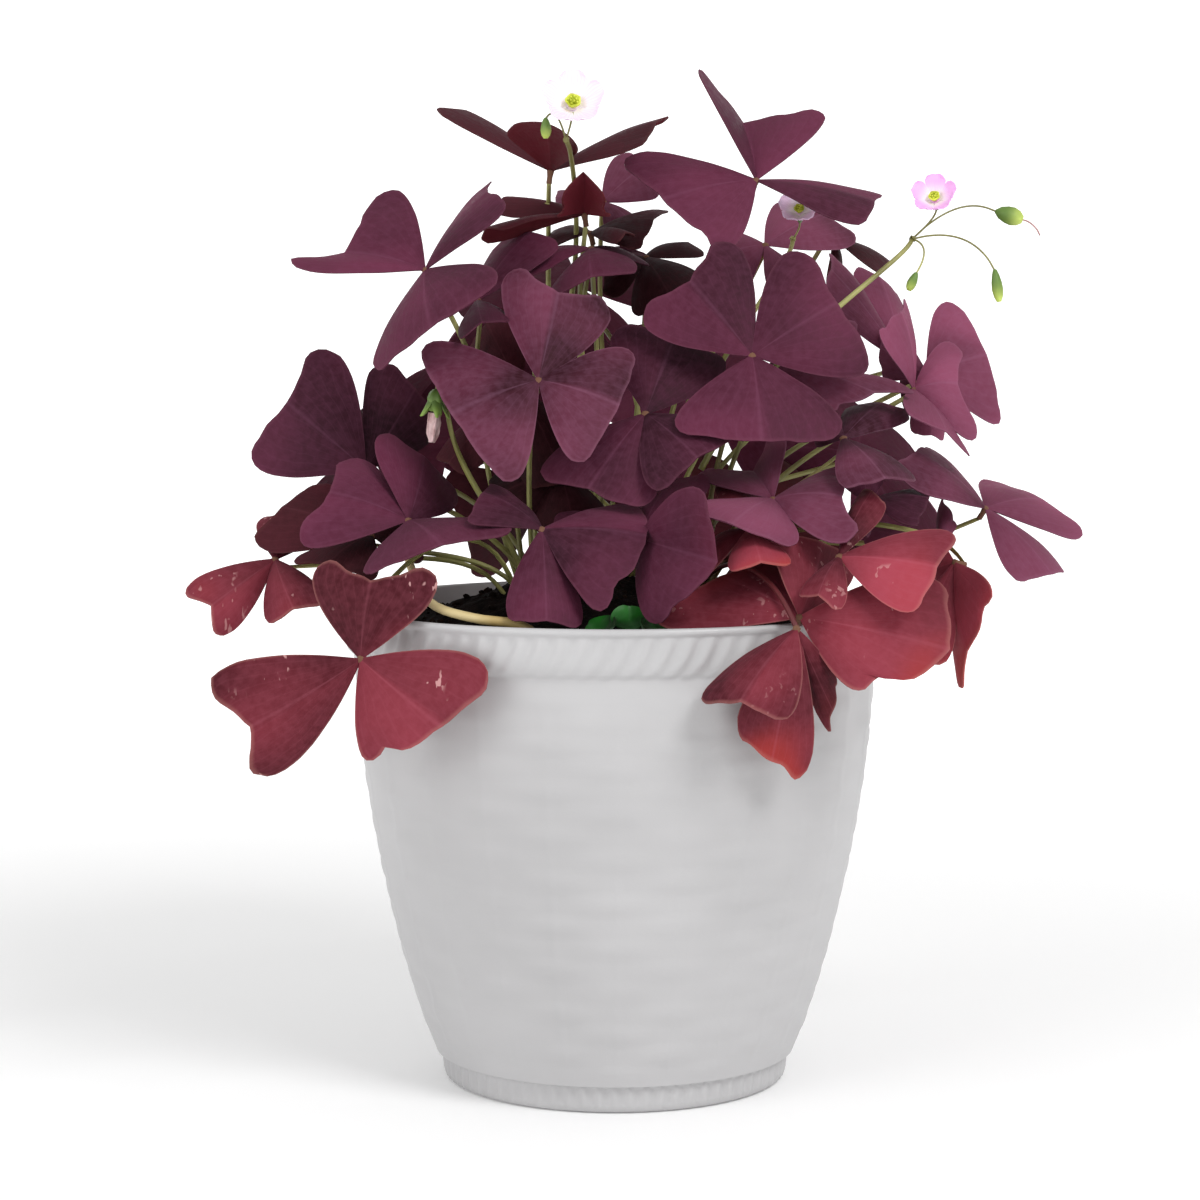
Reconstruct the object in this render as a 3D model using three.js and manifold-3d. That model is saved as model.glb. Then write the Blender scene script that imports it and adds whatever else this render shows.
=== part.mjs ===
// Purple shamrock (Oxalis triangularis) growing in a white plastic pot.
// Millimetres, +Z up. The origin is the middle of the pot's flat underside; -Y is the front.
import * as THREE from 'three';
import * as BufferGeometryUtils from 'three/addons/utils/BufferGeometryUtils.js';
import Module from 'manifold-3d';

const wasm = await Module();
wasm.setup();

// ---------------------------------------------------------------- driving dimensions
const RIM_RADIUS = 90; // the pot's widest radius, at the lip
const POT_HEIGHT = 157;
const WALL = 3; // pot wall thickness
const FLOOR = 4; // pot floor thickness
const FOOT_RADIUS = 56.5;
const FOOT_HEIGHT = 9;
const FLUTES = 36; // twisted flutes of the band, and ribs of the foot
const FLUTE_DEPTH = 1.3;
const FOOT_RIB_DEPTH = 0.8;
const BAND_BOTTOM = 141; // height where the rope band starts
const DRAIN_RADIUS = 4;
const DRAIN_RING = 34; // drain holes stand on this radius, clear of the middle
const GAP = 0.3; // running gap between separate pieces
const SOIL_EDGE = 146; // soil height at the pot wall
const SOIL_CROWN = 157; // soil height in the middle
const BLADE = 0.8; // leaf blade thickness
const BLADE_ARCH = 1.6; // rise of a leaflet between hub and shoulders
const FOLD = 2.2; // rise of a leaflet's midrib over the line between its shoulders
const HUB_OVERLAP = 0.4; // leaflets run this far past the hub
const HUB_RADIUS = 1.8; // the knot where three leaflets meet
const HUB_DEPTH = 3.4; // the knot runs this far down towards its stalk
const PETIOLE_RADIUS = 1.0;
const THICK_PETIOLE_RADIUS = 1.7;
const CROWN_RADIUS = 11;
const CROWN_SIDES = 12;
const GOLDEN_ANGLE = 2.39996;
const STALK_SIDES = 5;
const LEAF_STALK_STEPS = 5;
const FLOWER_STALK_STEPS = 7;
const STALK_SPACE = 0.8; // least gap between stalks once they have left their crown
const CROWN_SINK = 14; // depth of a crown in its hole in the soil
const SMOOTHING = 0.03; // facets flatter than this are merged
const LEAF_SMOOTHING = 0.12;
const LAYER_GAP = 3; // least depth between leaves that pass in front of each other

// The front leaves are set out on a front elevation, the plane y = 0 seen from EYE.
const EYE = new THREE.Vector3(-5, -990, 249);

// ---------------------------------------------------------------- colours
const COLOUR = {
  pot: '#e9e9e7', soil: '#1c1512', aubergine: '#3a1a2c', mauve: '#5e2f4c', brown: '#2b1318',
  crimson: '#6b1a24', stalk: '#8d8a4a', petal: '#f0d3ee', centre: '#c3d02a', seedling: '#1f6b22',
};
const ROUGHNESS = { pot: 0.45, soil: 0.95, petal: 0.6, centre: 0.6, stalk: 0.5 };

const plant = new THREE.Group();

function addMesh(name, geometry, finish) {
  const material = new THREE.MeshStandardMaterial({
    color: COLOUR[finish], roughness: ROUGHNESS[finish] ?? 0.55, metalness: 0,
  });
  const mesh = new THREE.Mesh(geometry, material);
  mesh.name = name;
  plant.add(mesh);
}

// ---------------------------------------------------------------- solids
function toSolid(geometry) {
  const bare = new THREE.BufferGeometry();
  bare.setAttribute('position', geometry.getAttribute('position').clone());
  if (geometry.index) bare.setIndex(geometry.index.clone());
  const merged = BufferGeometryUtils.mergeVertices(bare, 1e-4);
  const vertProperties = Float32Array.from(merged.getAttribute('position').array);
  const triVerts = Uint32Array.from(merged.index.array);
  let solid = new wasm.Manifold(new wasm.Mesh({ numProp: 3, vertProperties, triVerts }));
  if (solid.volume() < 0) {
    for (let i = 0; i < triVerts.length; i += 3) {
      [triVerts[i], triVerts[i + 1]] = [triVerts[i + 1], triVerts[i]];
    }
    solid = new wasm.Manifold(new wasm.Mesh({ numProp: 3, vertProperties, triVerts }));
  }
  return solid;
}

function toGeometry(solid, tolerance = SMOOTHING) {
  const mesh = solid.simplify(tolerance).getMesh();
  const geometry = new THREE.BufferGeometry();
  geometry.setAttribute('position', new THREE.Float32BufferAttribute(mesh.vertProperties, 3));
  geometry.setIndex(new THREE.Uint32BufferAttribute(mesh.triVerts, 1));
  geometry.computeVertexNormals();
  return geometry;
}

function fuse(solids) {
  return solids.reduce((whole, next) => whole.add(next));
}

// A closed slab from matching upper and lower points, the upper faces, and their rim.
function slab(upper, lower, faces, rim) {
  const count = upper.length;
  const positions = [...upper, ...lower].flatMap((p) => [p.x, p.y, p.z]);
  const index = [];
  for (const [i, j, k] of faces) index.push(i, j, k, count + i, count + k, count + j);
  rim.forEach((i, at) => {
    const j = rim[(at + 1) % rim.length];
    index.push(i, count + i, count + j, i, count + j, j);
  });
  const geometry = new THREE.BufferGeometry();
  geometry.setAttribute('position', new THREE.Float32BufferAttribute(positions, 3));
  geometry.setIndex(index);
  return geometry;
}

// A turned body whose rows are [height, radius, flute depth, twist]; it closes on the axis.
function fluted(rows, segments) {
  const positions = [0, 0, rows[0][0]];
  for (const [z, radius, depth, twist] of rows) {
    for (let i = 0; i < segments; i += 1) {
      const angle = (i / segments) * 2 * Math.PI;
      const wave = Math.cos(FLUTES * (angle - twist));
      const r = radius + depth * wave;
      positions.push(r * Math.cos(angle), r * Math.sin(angle), z);
    }
  }
  positions.push(0, 0, rows[rows.length - 1][0]);
  const top = positions.length / 3 - 1;
  const index = [];
  for (let i = 0; i < segments; i += 1) {
    const next = (i + 1) % segments;
    index.push(0, 1 + next, 1 + i);
    for (let row = 0; row < rows.length - 1; row += 1) {
      const base = 1 + row * segments;
      index.push(base + i, base + next, base + segments + next);
      index.push(base + i, base + segments + next, base + segments + i);
    }
    const last = 1 + (rows.length - 1) * segments;
    index.push(last + i, last + next, top);
  }
  const geometry = new THREE.BufferGeometry();
  geometry.setAttribute('position', new THREE.Float32BufferAttribute(positions, 3));
  geometry.setIndex(index);
  return geometry;
}

// A lathe profile of [radius, height] pairs, turned about +Z.
function turned(profile, segments) {
  const points = profile.map(([radius, height]) => new THREE.Vector2(radius, height));
  return new THREE.LatheGeometry(points, segments).rotateX(Math.PI / 2);
}

function placed(geometry, position, direction) {
  const turn = new THREE.Quaternion().setFromUnitVectors(new THREE.Vector3(0, 0, 1), direction);
  return geometry.applyQuaternion(turn).translate(position.x, position.y, position.z);
}

function sectionShape(radius, sides) {
  const shape = new THREE.Shape();
  for (let i = 0; i < sides; i += 1) {
    const angle = (i / sides) * 2 * Math.PI;
    const [x, y] = [radius * Math.cos(angle), radius * Math.sin(angle)];
    if (i === 0) shape.moveTo(x, y);
    else shape.lineTo(x, y);
  }
  shape.closePath();
  return shape;
}

function tube(curve, radius, sides, steps) {
  return new THREE.ExtrudeGeometry(sectionShape(radius, sides), {
    steps, extrudePath: curve, bevelEnabled: false,
  });
}

// ---------------------------------------------------------------- pot
// The wall's outline is slightly full between the foot and the band.
const WALL_ROWS = [[FOOT_HEIGHT, 59.5], [24.5, 65.3], [48, 72], [78, 78.6], [108, 83.2], [BAND_BOTTOM, 86]];

function wallRadius(height) {
  const above = WALL_ROWS.findIndex(([z]) => z >= height);
  if (above <= 0) return above === 0 ? WALL_ROWS[0][1] : WALL_ROWS[WALL_ROWS.length - 1][1];
  const [z0, r0] = WALL_ROWS[above - 1];
  const [z1, r1] = WALL_ROWS[above];
  return r0 + ((r1 - r0) * (height - z0)) / (z1 - z0);
}

function pot() {
  const segments = 2 * FLUTES;
  const twist = Math.PI / FLUTES;
  const rows = [
    [0, FOOT_RADIUS, FOOT_RIB_DEPTH, 0],
    [FOOT_HEIGHT - 0.6, FOOT_RADIUS + 0.8, FOOT_RIB_DEPTH, 0],
    ...WALL_ROWS.filter((row, i) => i !== 1).map(([z, r]) => [z, r, 0, 0]),
    [BAND_BOTTOM + 2.5, RIM_RADIUS - 3.4, FLUTE_DEPTH, 0],
    [BAND_BOTTOM + 8, RIM_RADIUS - 2.1, FLUTE_DEPTH, twist],
    [POT_HEIGHT - 3, RIM_RADIUS - 1.3, FLUTE_DEPTH / 2, 2 * twist],
    [POT_HEIGHT - 1.8, RIM_RADIUS, 0, 0],
    [POT_HEIGHT, RIM_RADIUS - 0.4, 0, 0],
  ];
  const inside = [
    [0, FLOOR], [FOOT_RADIUS - WALL, FLOOR],
    ...WALL_ROWS.map(([z, r]) => [r - WALL, z]),
    [RIM_RADIUS - 4.2, POT_HEIGHT + 1], [0, POT_HEIGHT + 1],
  ];
  let solid = toSolid(fluted(rows, segments)).subtract(toSolid(turned(inside, 36)));
  for (let i = 0; i < 4; i += 1) {
    const angle = ((i + 0.5) / 4) * 2 * Math.PI;
    const drill = new THREE.CylinderGeometry(DRAIN_RADIUS, DRAIN_RADIUS, 3 * FLOOR, 10).rotateX(Math.PI / 2);
    drill.translate(DRAIN_RING * Math.cos(angle), DRAIN_RING * Math.sin(angle), 0);
    solid = solid.subtract(toSolid(drill));
  }
  return toGeometry(solid);
}

// ---------------------------------------------------------------- soil
const SEEDLING_ROOT = { x: 4, y: -68 };
const SEEDLING_STEM = 1.2;
const SEEDLING_DEPTH = 5;
// The bent stalk leaves the soil at the first place and goes by the others.
const BENT_STALK = {
  leaf: 'leaf_15',
  by: [[-23, -70, 142], [-23.3, -70.2, 150.5], [-29, -71.5, 156.5], [-43, -70.5, 158.5], [-56, -61.5, 161.5], [-62, -53, 168]],
};
// Clumps of stalks rise from crowns at these places: [x, y].
const CROWNS = [[-24, -12], [22, -20], [2, 26]];

function soilHeight(x, y) {
  const reach = Math.min(1, Math.hypot(x, y) / (RIM_RADIUS - 6));
  const lumps = 0.9 * Math.sin(0.19 * x + 1.1) * Math.cos(0.23 * y) + 0.5 * Math.sin(0.41 * (x + y));
  return SOIL_CROWN - (SOIL_CROWN - SOIL_EDGE) * reach ** 3 + lumps;
}

function soil() {
  const segments = 20;
  const edge = (height) => wallRadius(height) - WALL - GAP - 0.6;
  const rows = [[FLOOR + GAP, FOOT_RADIUS - WALL - 1.2], [FOOT_HEIGHT, edge(FOOT_HEIGHT)]];
  for (const z of [48, 108, SOIL_EDGE - 1]) rows.push([z, edge(z)]);
  const geometry = fluted(rows.map(([z, r]) => [z, r, 0, 0]), segments);
  const position = geometry.getAttribute('position');
  // The last ring and the middle follow the mound; inner rings are added as a cap of their own.
  const cap = [];
  for (const share of [0.98, 0.75, 0.5, 0.25]) {
    for (let i = 0; i < segments; i += 1) {
      const angle = (i / segments) * 2 * Math.PI;
      const r = share * edge(SOIL_EDGE - 1);
      const [x, y] = [r * Math.cos(angle), r * Math.sin(angle)];
      cap.push(new THREE.Vector3(x, y, soilHeight(x, y)));
    }
  }
  cap.push(new THREE.Vector3(0, 0, soilHeight(0, 0)));
  const rings = Array.from({ length: position.count - 1 }, (unused, i) => (
    new THREE.Vector3().fromBufferAttribute(position, i)));
  const all = [...rings, ...cap];
  const index = [...geometry.index.array].filter((unused, i, list) => {
    const first = i - (i % 3);
    return ![list[first], list[first + 1], list[first + 2]].includes(position.count - 1);
  });
  const outer = position.count - 1 - segments;
  for (let ring = 0; ring < 4; ring += 1) {
    const low = ring === 0 ? outer : rings.length + (ring - 1) * segments;
    const high = rings.length + ring * segments;
    for (let i = 0; i < segments; i += 1) {
      const next = (i + 1) % segments;
      index.push(low + i, low + next, high + next, low + i, high + next, high + i);
    }
  }
  const inner = rings.length + 3 * segments;
  for (let i = 0; i < segments; i += 1) {
    index.push(inner + i, inner + ((i + 1) % segments), all.length - 1);
  }
  const mound = new THREE.BufferGeometry();
  mound.setAttribute('position', new THREE.Float32BufferAttribute(all.flatMap((p) => [p.x, p.y, p.z]), 3));
  mound.setIndex(index);
  let solid = toSolid(mound);
  const [bentX, bentY, bentZ] = BENT_STALK.by[0];
  const bores = [...CROWNS.map(([x, y]) => [x, y, CROWN_RADIUS + GAP, CROWN_SINK + GAP]),
    [SEEDLING_ROOT.x, SEEDLING_ROOT.y, SEEDLING_STEM + 2 * GAP, SEEDLING_DEPTH + GAP],
    [bentX, bentY, THICK_PETIOLE_RADIUS + 3 * GAP, soilHeight(bentX, bentY) - bentZ + GAP]];
  for (const [x, y, radius, depth] of bores) {
    const length = depth + 20;
    const bore = new THREE.CylinderGeometry(radius, radius, length, CROWN_SIDES).rotateX(Math.PI / 2);
    bore.translate(x, y, soilHeight(x, y) - depth + length / 2);
    solid = solid.subtract(toSolid(bore));
  }
  return toGeometry(solid);
}

// ---------------------------------------------------------------- leaves
// Each front leaf: name, finish, hub [x, z, depth], then three leaflets. A leaflet gives its two
// shoulders as x, z on the elevation and depth from the hub (+ is away from the front), then how
// far its notch stands out, as a share of the line between the shoulders, or the notch's own
// x, z, depth. The list runs from the front of the plant to the back.
const FRONT_LEAVES = [
  ['leaf_01', 'crimson', [60, 148, -86],
    [30, 126, -4, 56, 120, -20, 0.95], [42, 115, 3, 63, 102, 5, 1], [73, 131, 7, 69, 117, 12, 1]],
  ['leaf_02', 'mauve', [-25, 230, -35],
    [-34, 264, 20, -3, 254, 20, 0.85], [-62, 239, 8, -37, 199, -18, 1.05], [5, 238, 10, -10, 205, -14, 1.05]],
  ['leaf_03', 'aubergine', [45, 238, -30],
    [37, 274, 18, 10, 251, 10, 0.88], [60, 271, 16, 82, 236, 4, 0.95], [23, 214, -16, 72, 213, -14, 1.1]],
  ['leaf_04', 'aubergine', [10, 219, -40],
    [3, 246, 22, 34, 236, 20, 0.95], [-22, 200, -8, 8, 190, -18, 1], [15, 196, -22, 37, 212, -12, 1]],
  ['leaf_05', 'mauve', [52, 236, -8],
    [71, 222, -14, 94, 228, -6, 1], [62, 256, 22, 78, 246, 18, 0.9], [42, 224, -6, 50, 212, -12, 0.9]],
  ['leaf_06', 'mauve', [98, 227, 0],
    [96, 253, 20, 88, 246, -4, 1], [111, 242, 18, 118, 212, -10, 0.75], [116, 206, -12, 97, 219, -24, 1]],
  ['leaf_07', 'mauve', [75, 211, -30],
    [78, 222, 26, 96, 218, 24, 0.95], [76, 196, -26, 98, 199, -22, 1.05], [70, 220, 18, 66, 209, 10, 1]],
  ['leaf_08', 'aubergine', [-24, 181, -58],
    [-38, 195, 22, -47, 185, -2, 1], [7, 188, 16, -8, 157, -18, 8, 180, -1], [-34, 153, -18, -12, 151, -16, 1]],
  ['leaf_09', 'aubergine', [8, 178, -50],
    [15, 154, -26, 28, 189, -28, 1], [10, 193, 26, 29, 197, 22, 0.95], [-16, 186, 22, -20, 172, 12, 1]],
  ['leaf_10', 'mauve', [52, 191, -50],
    [29, 200, 24, 53, 212, 26, 0.85], [73, 200, 8, 76, 179, -28, 0.95], [23, 189, -18, 58, 180, -30, 1.05]],
  ['leaf_11', 'crimson', [44, 181, -62],
    [39, 168, -22, 57, 170, -22, 1], [28, 166, -8, 33, 178, 8, 1], [34, 195, 34, 50, 194, 36, 1]],
  ['leaf_12', 'crimson', [74, 172, -78],
    [104, 179, -4, 97, 153, -16, 1.1], [80, 192, 24, 88, 188, 16, 1], [62, 160, -8, 74, 156, -16, 0.95]],
  ['leaf_13', 'crimson', [61, 152, -84],
    [16, 154, 12, 58, 171, 24, 1], [55, 178, 14, 77, 170, 28, 1], [83, 131, -12, 109, 150, -2, 0.92]],
  ['leaf_14', 'crimson', [-84, 138, -72],
    [-97, 168, 14, -61, 165, 4, 0.82], [-131, 131, -6, -115, 100, 4, 0.88], [-43, 133, -14, -80, 106, -8, 1.12]],
  ['leaf_15', 'aubergine', [-68, 184, -52],
    [-87, 204, 20, -102, 179, -6, 0.88], [-76, 211, 22, -53, 193, 26, 1], [-79, 168, -24, -36, 181, -20, 1]],
  ['leaf_16', 'brown', [-80, 179, -28],
    [-98, 195, 20, -116, 177, 6, 1], [-104, 171, -6, -82, 166, -16, 1], [-64, 172, -2, -66, 190, 12, 1]],
  ['leaf_17', 'crimson', [-112, 171, -30],
    [-140, 162, -12, -129, 147, -14, 0.9], [-114, 151, -20, -97, 158, -22, 1], [-116, 184, 18, -98, 182, 20, 1]],
  ['leaf_18', 'crimson', [112, 170, -40],
    [122, 158, -22, 114, 131, -6, 1.05], [108, 139, -14, 94, 141, -6, 1], [104, 176, 22, 107, 158, 14, 1]],
  ['leaf_19', 'mauve', [122, 188, -8],
    [125, 197, 28, 153, 180, 8, 1], [133, 166, -22, 147, 169, -6, 1.05], [104, 208, 16, 95, 199, -18, 1]],
  ['leaf_20', 'mauve', [102, 232, 14],
    [111, 254, 22, 126, 219, 6, 1.02], [90, 246, 16, 88, 232, 10, 1], [98, 214, -4, 108, 212, -2, 1]],
  ['leaf_21', 'aubergine', [83, 190, -36],
    [102, 194, 12, 99, 184, -12, 1.05], [75, 183, -14, 83, 180, -16, 1], [74, 200, 16, 88, 204, 20, 1]],
  ['leaf_22', 'mauve', [107, 174, -20],
    [107, 189, 18, 112, 183, 8, 1], [86, 184, 12, 84, 174, 4, 1], [116, 165, -2, 112, 158, 4, 1]],
  ['leaf_23', 'aubergine', [-62, 266, -22],
    [-75, 291, 26, -103, 267, -2, 0.8], [-44, 292, 22, -37, 286, -8, 0.95], [-40, 262, -28, -78, 235, -16, 1.05]],
  ['leaf_24', 'aubergine', [-82, 201, -36],
    [-95, 239, 12, -118, 205, 8, 0.93], [-77, 234, 20, -59, 215, 24, 1], [-92, 184, -8, -72, 184, -6, 1]],
  ['leaf_25', 'aubergine', [-45, 256, -4],
    [-37, 275, 24, -20, 274, 12, 1], [-50, 245, -24, -36, 250, -22, 1], [-60, 262, 14, -62, 250, 4, 1]],
  ['leaf_26', 'brown', [-21, 298, 10],
    [-55, 316, -12, -43, 314, 18, 0.95], [-34, 312, -26, -13, 308, -28, 1], [14, 314, 6, 8, 307, -16, 1]],
  ['leaf_27', 'brown', [-10, 284, 0],
    [-18, 288, -24, -4, 287, -26, -10, 298, -20], [-31, 289, 22, -37, 285, 14, 1], [-36, 280, -16, -41, 276, -8, 1]],
  ['leaf_28', 'brown', [-8, 278, 30],
    [15, 286, 12, 8, 274, -14, 1], [-21, 274, 4, -16, 279, 34, 1], [0, 275, -22, 6, 277, -18, 1]],
  ['leaf_29', 'aubergine', [-8, 273, -2],
    [-19, 259, -24, 5, 266, -26, 1], [-31, 265, -12, -24, 271, 14, 1], [-2, 270, 26, 10, 268, 20, 1]],
  ['leaf_30', 'mauve', [94, 236, 4],
    [73, 269, 8, 70, 256, -2, 1], [79, 264, 24, 93, 256, 26, 1], [104, 228, -6, 97, 220, -14, 1]],
  ['leaf_31', 'aubergine', [46, 295, -10],
    [5, 302, 2, 34, 274, -22, 1.05], [28, 330, 12, 66, 317, 20, 42, 312, 24], [83, 291, 10, 79, 282, -14, 1]],
  ['leaf_32', 'mauve', [49, 274, 8],
    [57, 288, 26, 77, 276, 18, 0.95], [70, 256, -12, 54, 256, -18, 1], [34, 277, 10, 39, 260, -8, 1]],
  ['leaf_33', 'brown', [71, 276, 22],
    [88, 269, 16, 86, 266, -8, 1], [70, 262, -4, 73, 267, 16, 1], [60, 284, 14, 64, 290, -4, 1]],
  ['leaf_34', 'brown', [-31, 228, -12],
    [-47, 239, 18, -33, 253, 20, 1], [-57, 207, 0, -47, 201, -6, 1], [-28, 197, -8, -8, 201, -4, 1]],
  ['leaf_35', 'brown', [-18, 200, -20],
    [-40, 198, 4, -34, 184, -8, 1], [-24, 182, -10, -4, 184, -8, 1], [0, 208, 14, -14, 216, 18, 1]],
  ['leaf_36', 'brown', [10, 270, -6],
    [8, 252, -20, 28, 262, -18, 1], [17, 274, 18, 28, 271, 12, 1], [-3, 269, 6, -1, 258, -14, 1]],
  ['leaf_37', 'mauve', [-4, 288, 20],
    [2, 303, 18, 14, 291, 10, 1], [-16, 292, 20, -18, 284, 12, 1], [0, 276, -10, 10, 280, 4, 1]],
];

// Each back leaf: name, finish, hub [x, y, z], the compass heading it faces (90 is the back),
// its tilt from level, its turn about its stalk, and its leaflets' length.
const BACK_LEAVES = [
  ['leaf_38', 'aubergine', [-36, 72, 232], 112, 50, 20, 42],
  ['leaf_39', 'mauve', [34, 84, 226], 75, 52, 88, 42],
  ['leaf_40', 'aubergine', [-84, 46, 206], 145, 55, 50, 41],
  ['leaf_41', 'mauve', [84, 52, 204], 40, 54, 10, 41],
  ['leaf_42', 'brown', [-26, 100, 188], 100, 62, 100, 38],
  ['leaf_43', 'brown', [56, 92, 174], 62, 64, 30, 38],
  ['leaf_44', 'aubergine', [-14, 84, 262], 96, 32, 30, 41],
];
const APEX = THREE.MathUtils.degToRad(74); // angle between a leaflet's shoulders, seen from its hub
const DROOP = THREE.MathUtils.degToRad(12); // leaflets hang this much below the hub's plane

function onSight(x, z, y) {
  const share = (y - EYE.y) / -EYE.y;
  return new THREE.Vector3(x, 0, z).sub(EYE).multiplyScalar(share).add(EYE);
}

function frontLeaf([name, finish, [x, z, y], ...leaflets]) {
  const hub = onSight(x, z, y);
  return {
    name, finish, hub,
    leaflets: leaflets.map(([x1, z1, y1, x2, z2, y2, ...notch]) => ({
      shoulders: [onSight(x1, z1, y + y1), onSight(x2, z2, y + y2)],
      reach: notch.length === 1 ? notch[0] : 1,
      notch: notch.length === 3 ? onSight(notch[0], notch[1], y + notch[2]) : null,
    })),
  };
}

function backLeaf([name, finish, place, heading, tilt, turn, length]) {
  const hub = new THREE.Vector3(...place);
  const facing = THREE.MathUtils.degToRad(heading);
  const lean = THREE.MathUtils.degToRad(tilt);
  const normal = new THREE.Vector3(
    Math.cos(facing) * Math.sin(lean), Math.sin(facing) * Math.sin(lean), Math.cos(lean));
  const across = new THREE.Vector3(-Math.sin(facing), Math.cos(facing), 0);
  const upward = new THREE.Vector3().crossVectors(normal, across);
  const shoulder = (angle) => hub.clone()
    .addScaledVector(across, length * Math.cos(DROOP) * Math.cos(angle))
    .addScaledVector(upward, length * Math.cos(DROOP) * Math.sin(angle))
    .addScaledVector(normal, -length * Math.sin(DROOP));
  const leaflets = [0, 1, 2].map((i) => {
    const middle = THREE.MathUtils.degToRad(turn + 120 * i);
    return { shoulders: [shoulder(middle - APEX / 2), shoulder(middle + APEX / 2)], reach: 0.95, notch: null };
  });
  return { name, finish, hub, leaflets };
}

// A leaflet's own axes: its midrib, its two half planes, and the side that faces up or forward.
function leafletAxes(hub, { shoulders, reach, notch }) {
  const spans = shoulders.map((corner) => corner.clone().sub(hub));
  const normal = new THREE.Vector3().crossVectors(spans[0], spans[1]).normalize();
  if (normal.dot(new THREE.Vector3(0, -0.5, 1)) < 0) {
    normal.negate();
    spans.reverse();
  }
  const rib = notch
    ? notch.clone().sub(hub)
    : spans[0].clone().add(spans[1]).multiplyScalar(reach / 2).addScaledVector(normal, FOLD);
  const along = rib.clone().normalize();
  const halves = spans.map((span) => {
    const run = span.dot(along);
    const out = span.clone().addScaledVector(along, -run);
    const spread = out.length();
    return { run, spread, across: out.normalize() };
  });
  return { normal, along, length: rib.length(), halves };
}

// Margin of a half leaflet, as [share of the shoulder's run, share of its spread].
const MARGIN = [[0.48, 0.62], [0.88, 1.02], [1.04, 0.88]];
const RIB = [0, 0.55, 1]; // places along the midrib

function leafletSlab(hub, leaflet) {
  const { normal, along, length, halves } = leafletAxes(hub, leaflet);
  const arch = (share) => BLADE_ARCH * 4 * share * (1 - Math.min(1, share));
  const upper = [];
  const lower = [];
  const put = (point, facing) => {
    upper.push(point.clone().addScaledVector(facing, BLADE / 2));
    lower.push(point.clone().addScaledVector(facing, -BLADE / 2));
  };
  for (const share of RIB) {
    const place = share === 0 ? -HUB_OVERLAP : length * share;
    put(hub.clone().addScaledVector(along, place).addScaledVector(normal, arch(share)), normal);
  }
  halves.forEach(({ run, spread, across }, side) => {
    const facing = new THREE.Vector3().crossVectors(along, across).multiplyScalar(side === 0 ? -1 : 1);
    const lobe = [(0.45 * run + 0.55 * length) / run + 0.07, 0.45];
    for (const [share, width] of [...MARGIN, lobe]) {
      const point = hub.clone().addScaledVector(along, run * share)
        .addScaledVector(across, spread * width)
        .addScaledVector(normal, arch(Math.min(1, share)) * 0.5);
      put(point, facing);
    }
  });
  const faces = [];
  [[3, true], [7, false]].forEach(([first, flip]) => {
    const [a, b, c, lobe] = [0, 1, 2, 3].map((i) => first + i);
    for (const [i, j, k] of [[0, 1, a], [1, b, a], [1, 2, b], [2, c, b], [2, lobe, c]]) {
      faces.push(flip ? [i, k, j] : [i, j, k]);
    }
  });
  const rim = [0, 3, 4, 5, 6, 2, 10, 9, 8, 7];
  return slab(upper, lower, faces, rim);
}

// The mean of its leaflets' normals.
function leafNormal(leaf) {
  const sum = new THREE.Vector3();
  for (const leaflet of leaf.leaflets) sum.add(leafletAxes(leaf.hub, leaflet).normal);
  return sum.normalize();
}

function leafGeometry(leaf) {
  const knotProfile = [[0, -HUB_DEPTH], [HUB_RADIUS, 0], [0, 1.2]];
  const knot = toSolid(placed(turned(knotProfile, 3), leaf.hub, leafNormal(leaf)));
  const leaflets = leaf.leaflets.map((leaflet) => toSolid(leafletSlab(leaf.hub, leaflet)));
  return toGeometry(fuse([knot, ...leaflets]), LEAF_SMOOTHING);
}

// The middle surface of a leaf, as triangles, for keeping leaves and stalks clear of each other.
function leafSheet(leaf) {
  const sheet = [];
  for (const leaflet of leaf.leaflets) {
    const geometry = leafletSlab(leaf.hub, leaflet);
    const position = geometry.getAttribute('position');
    const half = position.count / 2;
    const middle = Array.from({ length: half }, (unused, i) => (
      new THREE.Vector3().fromBufferAttribute(position, i)
        .add(new THREE.Vector3().fromBufferAttribute(position, half + i)).multiplyScalar(0.5)));
    const index = geometry.index.array;
    for (let i = 0; i < index.length; i += 3) {
      const corners = [index[i], index[i + 1], index[i + 2]];
      if (corners.every((corner) => corner < half)) {
        sheet.push(new THREE.Triangle(...corners.map((corner) => middle[corner])));
      }
    }
  }
  return sheet;
}

function moveAlongSight(leaf, scale) {
  const move = (point) => point && point.sub(EYE).multiplyScalar(scale).add(EYE);
  move(leaf.hub);
  leaf.leaflets.forEach(({ shoulders, notch }) => [...shoulders, notch].forEach(move));
}

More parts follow.
